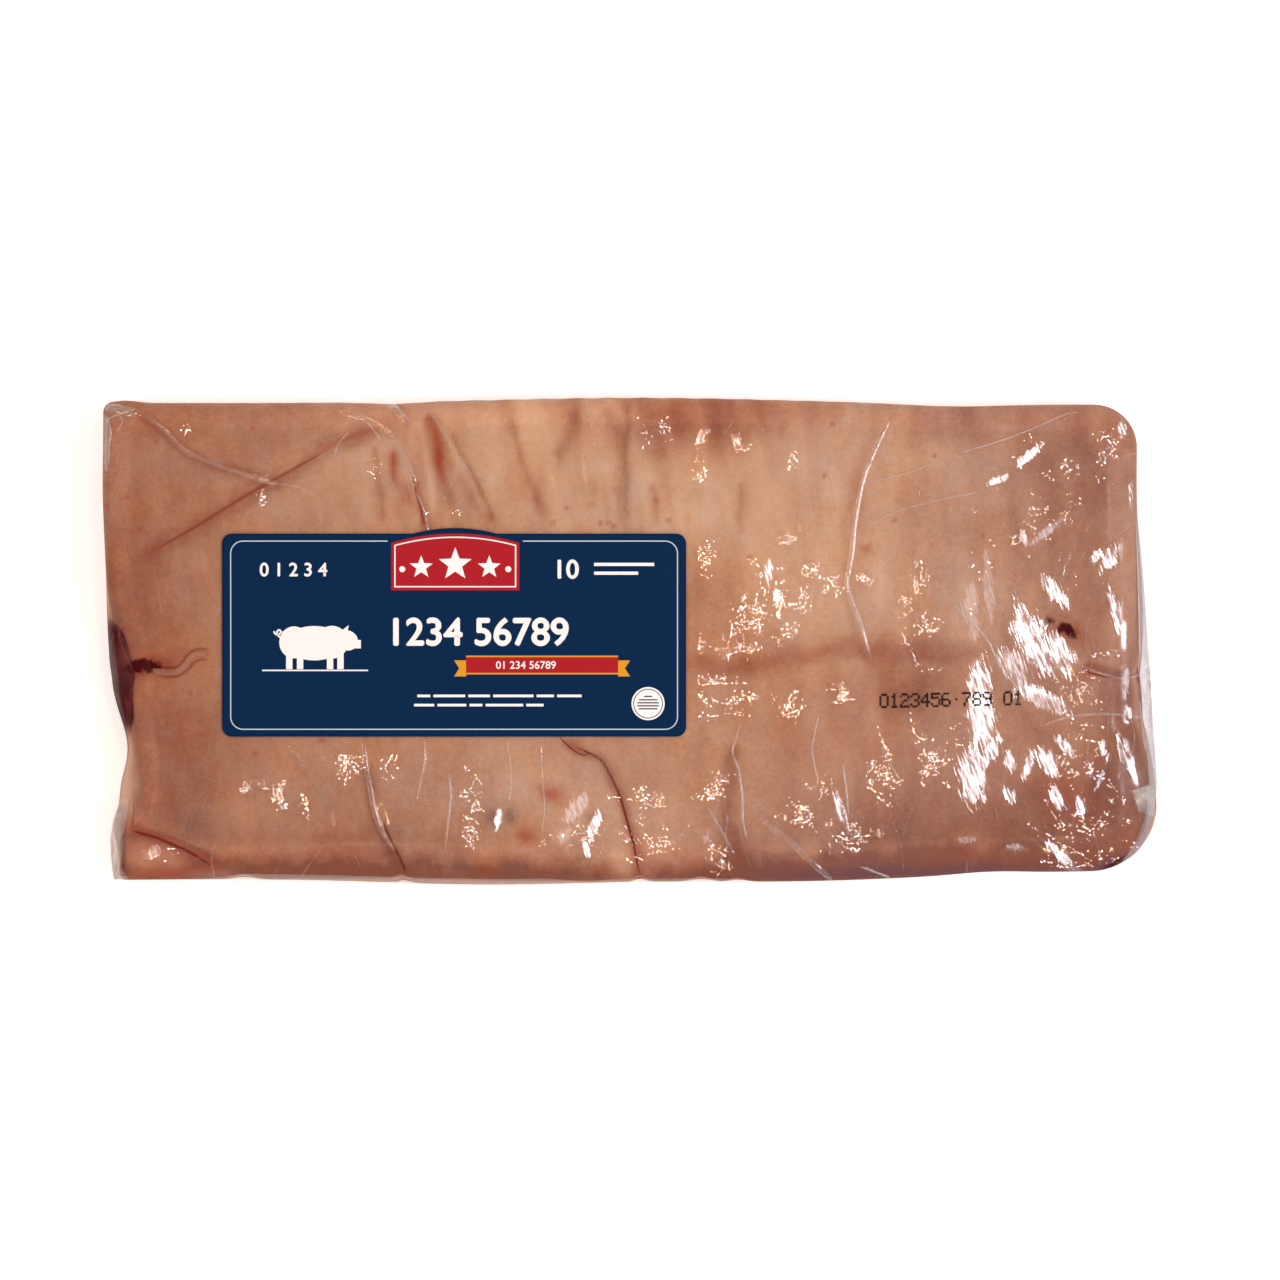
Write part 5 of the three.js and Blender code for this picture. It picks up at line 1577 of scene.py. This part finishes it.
# ---------------------------------------------------------------- figures jetted on the film
FIGURE_DOTS = {
    "0": "01110 10001 10001 10001 10001 10001 01110", "1": "00100 01100 00100 00100 00100 00100 01110",
    "2": "01110 10001 00001 00110 01000 10000 11111", "3": "01110 10001 00001 00110 00001 10001 01110",
    "4": "00010 00110 01010 10010 11111 00010 00010", "5": "11111 10000 11110 00001 00001 10001 01110",
    "6": "01110 10000 10000 11110 10001 10001 01110", "7": "11111 00001 00010 00100 00100 01000 01000",
    "8": "01110 10001 10001 01110 10001 10001 01110", "9": "01110 10001 10001 01111 00001 00001 01110",
    " ": "00000 " * 7, ".": "00000 00000 00000 00100 00000 00000 00000",
}
JET = {
    "text": "0123456.789 01", "left": 125, "low": -33.6, "pitch": 0.92, "tall": 1.02, "rise": 0.022,
    "advance": 5.6, "dot": 0.6, "corner": 0.72, "lift": 0.05,
}


def make_jetted_figures(over_film):
    """Plain figures in dots of ink from a line printer, a little uneven."""
    draw = np.random.default_rng(SEED)
    grids = []
    for place_in_line, character in enumerate(JET["text"]):
        for row, dots in enumerate(FIGURE_DOTS[character].split()):
            for column, on in enumerate(dots):
                if on == "0":
                    continue
                across = (place_in_line * JET["advance"] + column) * JET["pitch"]
                x = JET["left"] + across + draw.normal(0, 0.06)
                slope = (x - JET["left"]) * JET["rise"]
                y = JET["low"] + (6 - row) * JET["tall"] + slope + draw.normal(0, 0.05)
                u, v = np.meshgrid([-1.0, 0, 1], [-1.0, 0, 1], indexing="ij")
                shrink = np.where(np.abs(u * v) > 0, JET["corner"], 1) * JET["dot"]
                dx, dy = x + u * shrink, y + v * shrink
                veil = np.full(u.shape, draw.uniform(0.7, 1.0))
                grids.append((dx, dy, over_film(dx, dy) + JET["lift"], veil))
    make_joined("jetted_figures", grids, tinted("jetted black ink, dried on film", "#120c0d"))


# ---------------------------------------------------------------- stage, light and camera
FLOOR_HALF = 3000
# The walls' brightness by height of view: from and to, and the brightness below and above.
WALL_STEPS = [(0.0, 0.4, 0.25, 1.05), (0.66, 0.9, 1.0, 0.02)]
SENSOR = 36


def make_stage():
    """A white board, lit from below as well, so that it stays white round the slab."""
    size = FLOOR_HALF
    corners = np.array([(-size, -size, 0), (size, -size, 0), (size, size, 0), (-size, size, 0)], float)
    material, tree = new_material("white acrylic light table")
    body = add(
        tree, "BsdfPrincipled", Base_Color=linear("#f4f4f4"), Roughness=0.9,
        Emission_Color=linear("#ffffff"), Emission_Strength=0.45,
    )
    add(tree, "OutputMaterial", Surface=body)
    mesh = bpy.data.meshes.new("floor")
    mesh.from_pydata((corners * MM).tolist(), [], [[0, 1, 2, 3]])
    mesh.materials.append(material)
    floor = bpy.data.objects.new("floor", mesh)
    bpy.context.scene.collection.objects.link(floor)


def area_light(name, place_mm, size_mm, radiance, colour):
    """A soft box of the given brightness, where 1 is white, that faces the slab."""
    lamp = bpy.data.lights.new(name, "AREA")
    lamp.shape = "RECTANGLE"
    lamp.size, lamp.size_y = size_mm[0] * MM, size_mm[1] * MM
    lamp.energy = radiance * math.pi * lamp.size * lamp.size_y
    lamp.color = linear(colour)[:3]
    light = bpy.data.objects.new(name, lamp)
    light.location = Vector(place_mm) * MM
    ahead = Vector(place_mm) - Vector((place_mm[0] / 4, 0, 30))
    light.rotation_euler = ahead.to_track_quat("Z", "Y").to_euler()
    bpy.context.scene.collection.objects.link(light)


def make_lights():
    """Pale upper walls under a dark ceiling, with a bright window and small warm lamps in it."""
    world = bpy.data.worlds.new("studio")
    bpy.context.scene.world = world
    world.use_nodes = True
    tree = world.node_tree
    up = add(tree, "SeparateXYZ", out="Z", Vector=add(tree, "TexCoord", out="Generated"))
    brightness = 1.0
    for low, high, below, above in WALL_STEPS:
        share = add(tree, "MapRange", EASED, _0=up, _1=low, _2=high, _3=below, _4=above)
        brightness = add(tree, "Math", TIMES, _0=share, _1=brightness)
    back = tree.nodes["Background"]
    back.inputs[0].default_value = linear("#ffffff")
    tree.links.new(brightness, back.inputs[1])
    area_light("window", *WINDOW)
    for count, lamp in enumerate(CEILING_LAMPS):
        area_light(f"ceiling lamp {count}", *lamp)


def make_camera():
    """A long lens straight above the slab, so that the view is flat."""
    camera = bpy.data.cameras.new("camera")
    camera.sensor_width = camera.sensor_height = SENSOR
    camera.lens = SENSOR * (CAMERA_HEIGHT - THICKNESS) / (VIEW_PIXELS * MM_PER_PIXEL)
    camera.clip_end = 20
    view = bpy.data.objects.new("camera", camera)
    view.location = ((VIEW_MIDDLE + SHIFT_X) * MM, SHIFT_Y * MM, CAMERA_HEIGHT * MM)
    bpy.context.scene.collection.objects.link(view)
    bpy.context.scene.camera = view


scene = bpy.context.scene
scene.view_settings.view_transform = "Standard"
make_camera()
make_stage()
make_lights()
belly = make_belly()
film = make_film()
over_belly, over_film = height_over(belly), height_over(film)
make_slits(over_belly)
make_vein(over_belly)
make_film_folds(over_film)
make_film_facets(over_film)
make_seal_strip(over_film)
make_film_slack(over_film)
make_seal_tab(over_film)
make_label()
print_label()
make_jetted_figures(over_film)
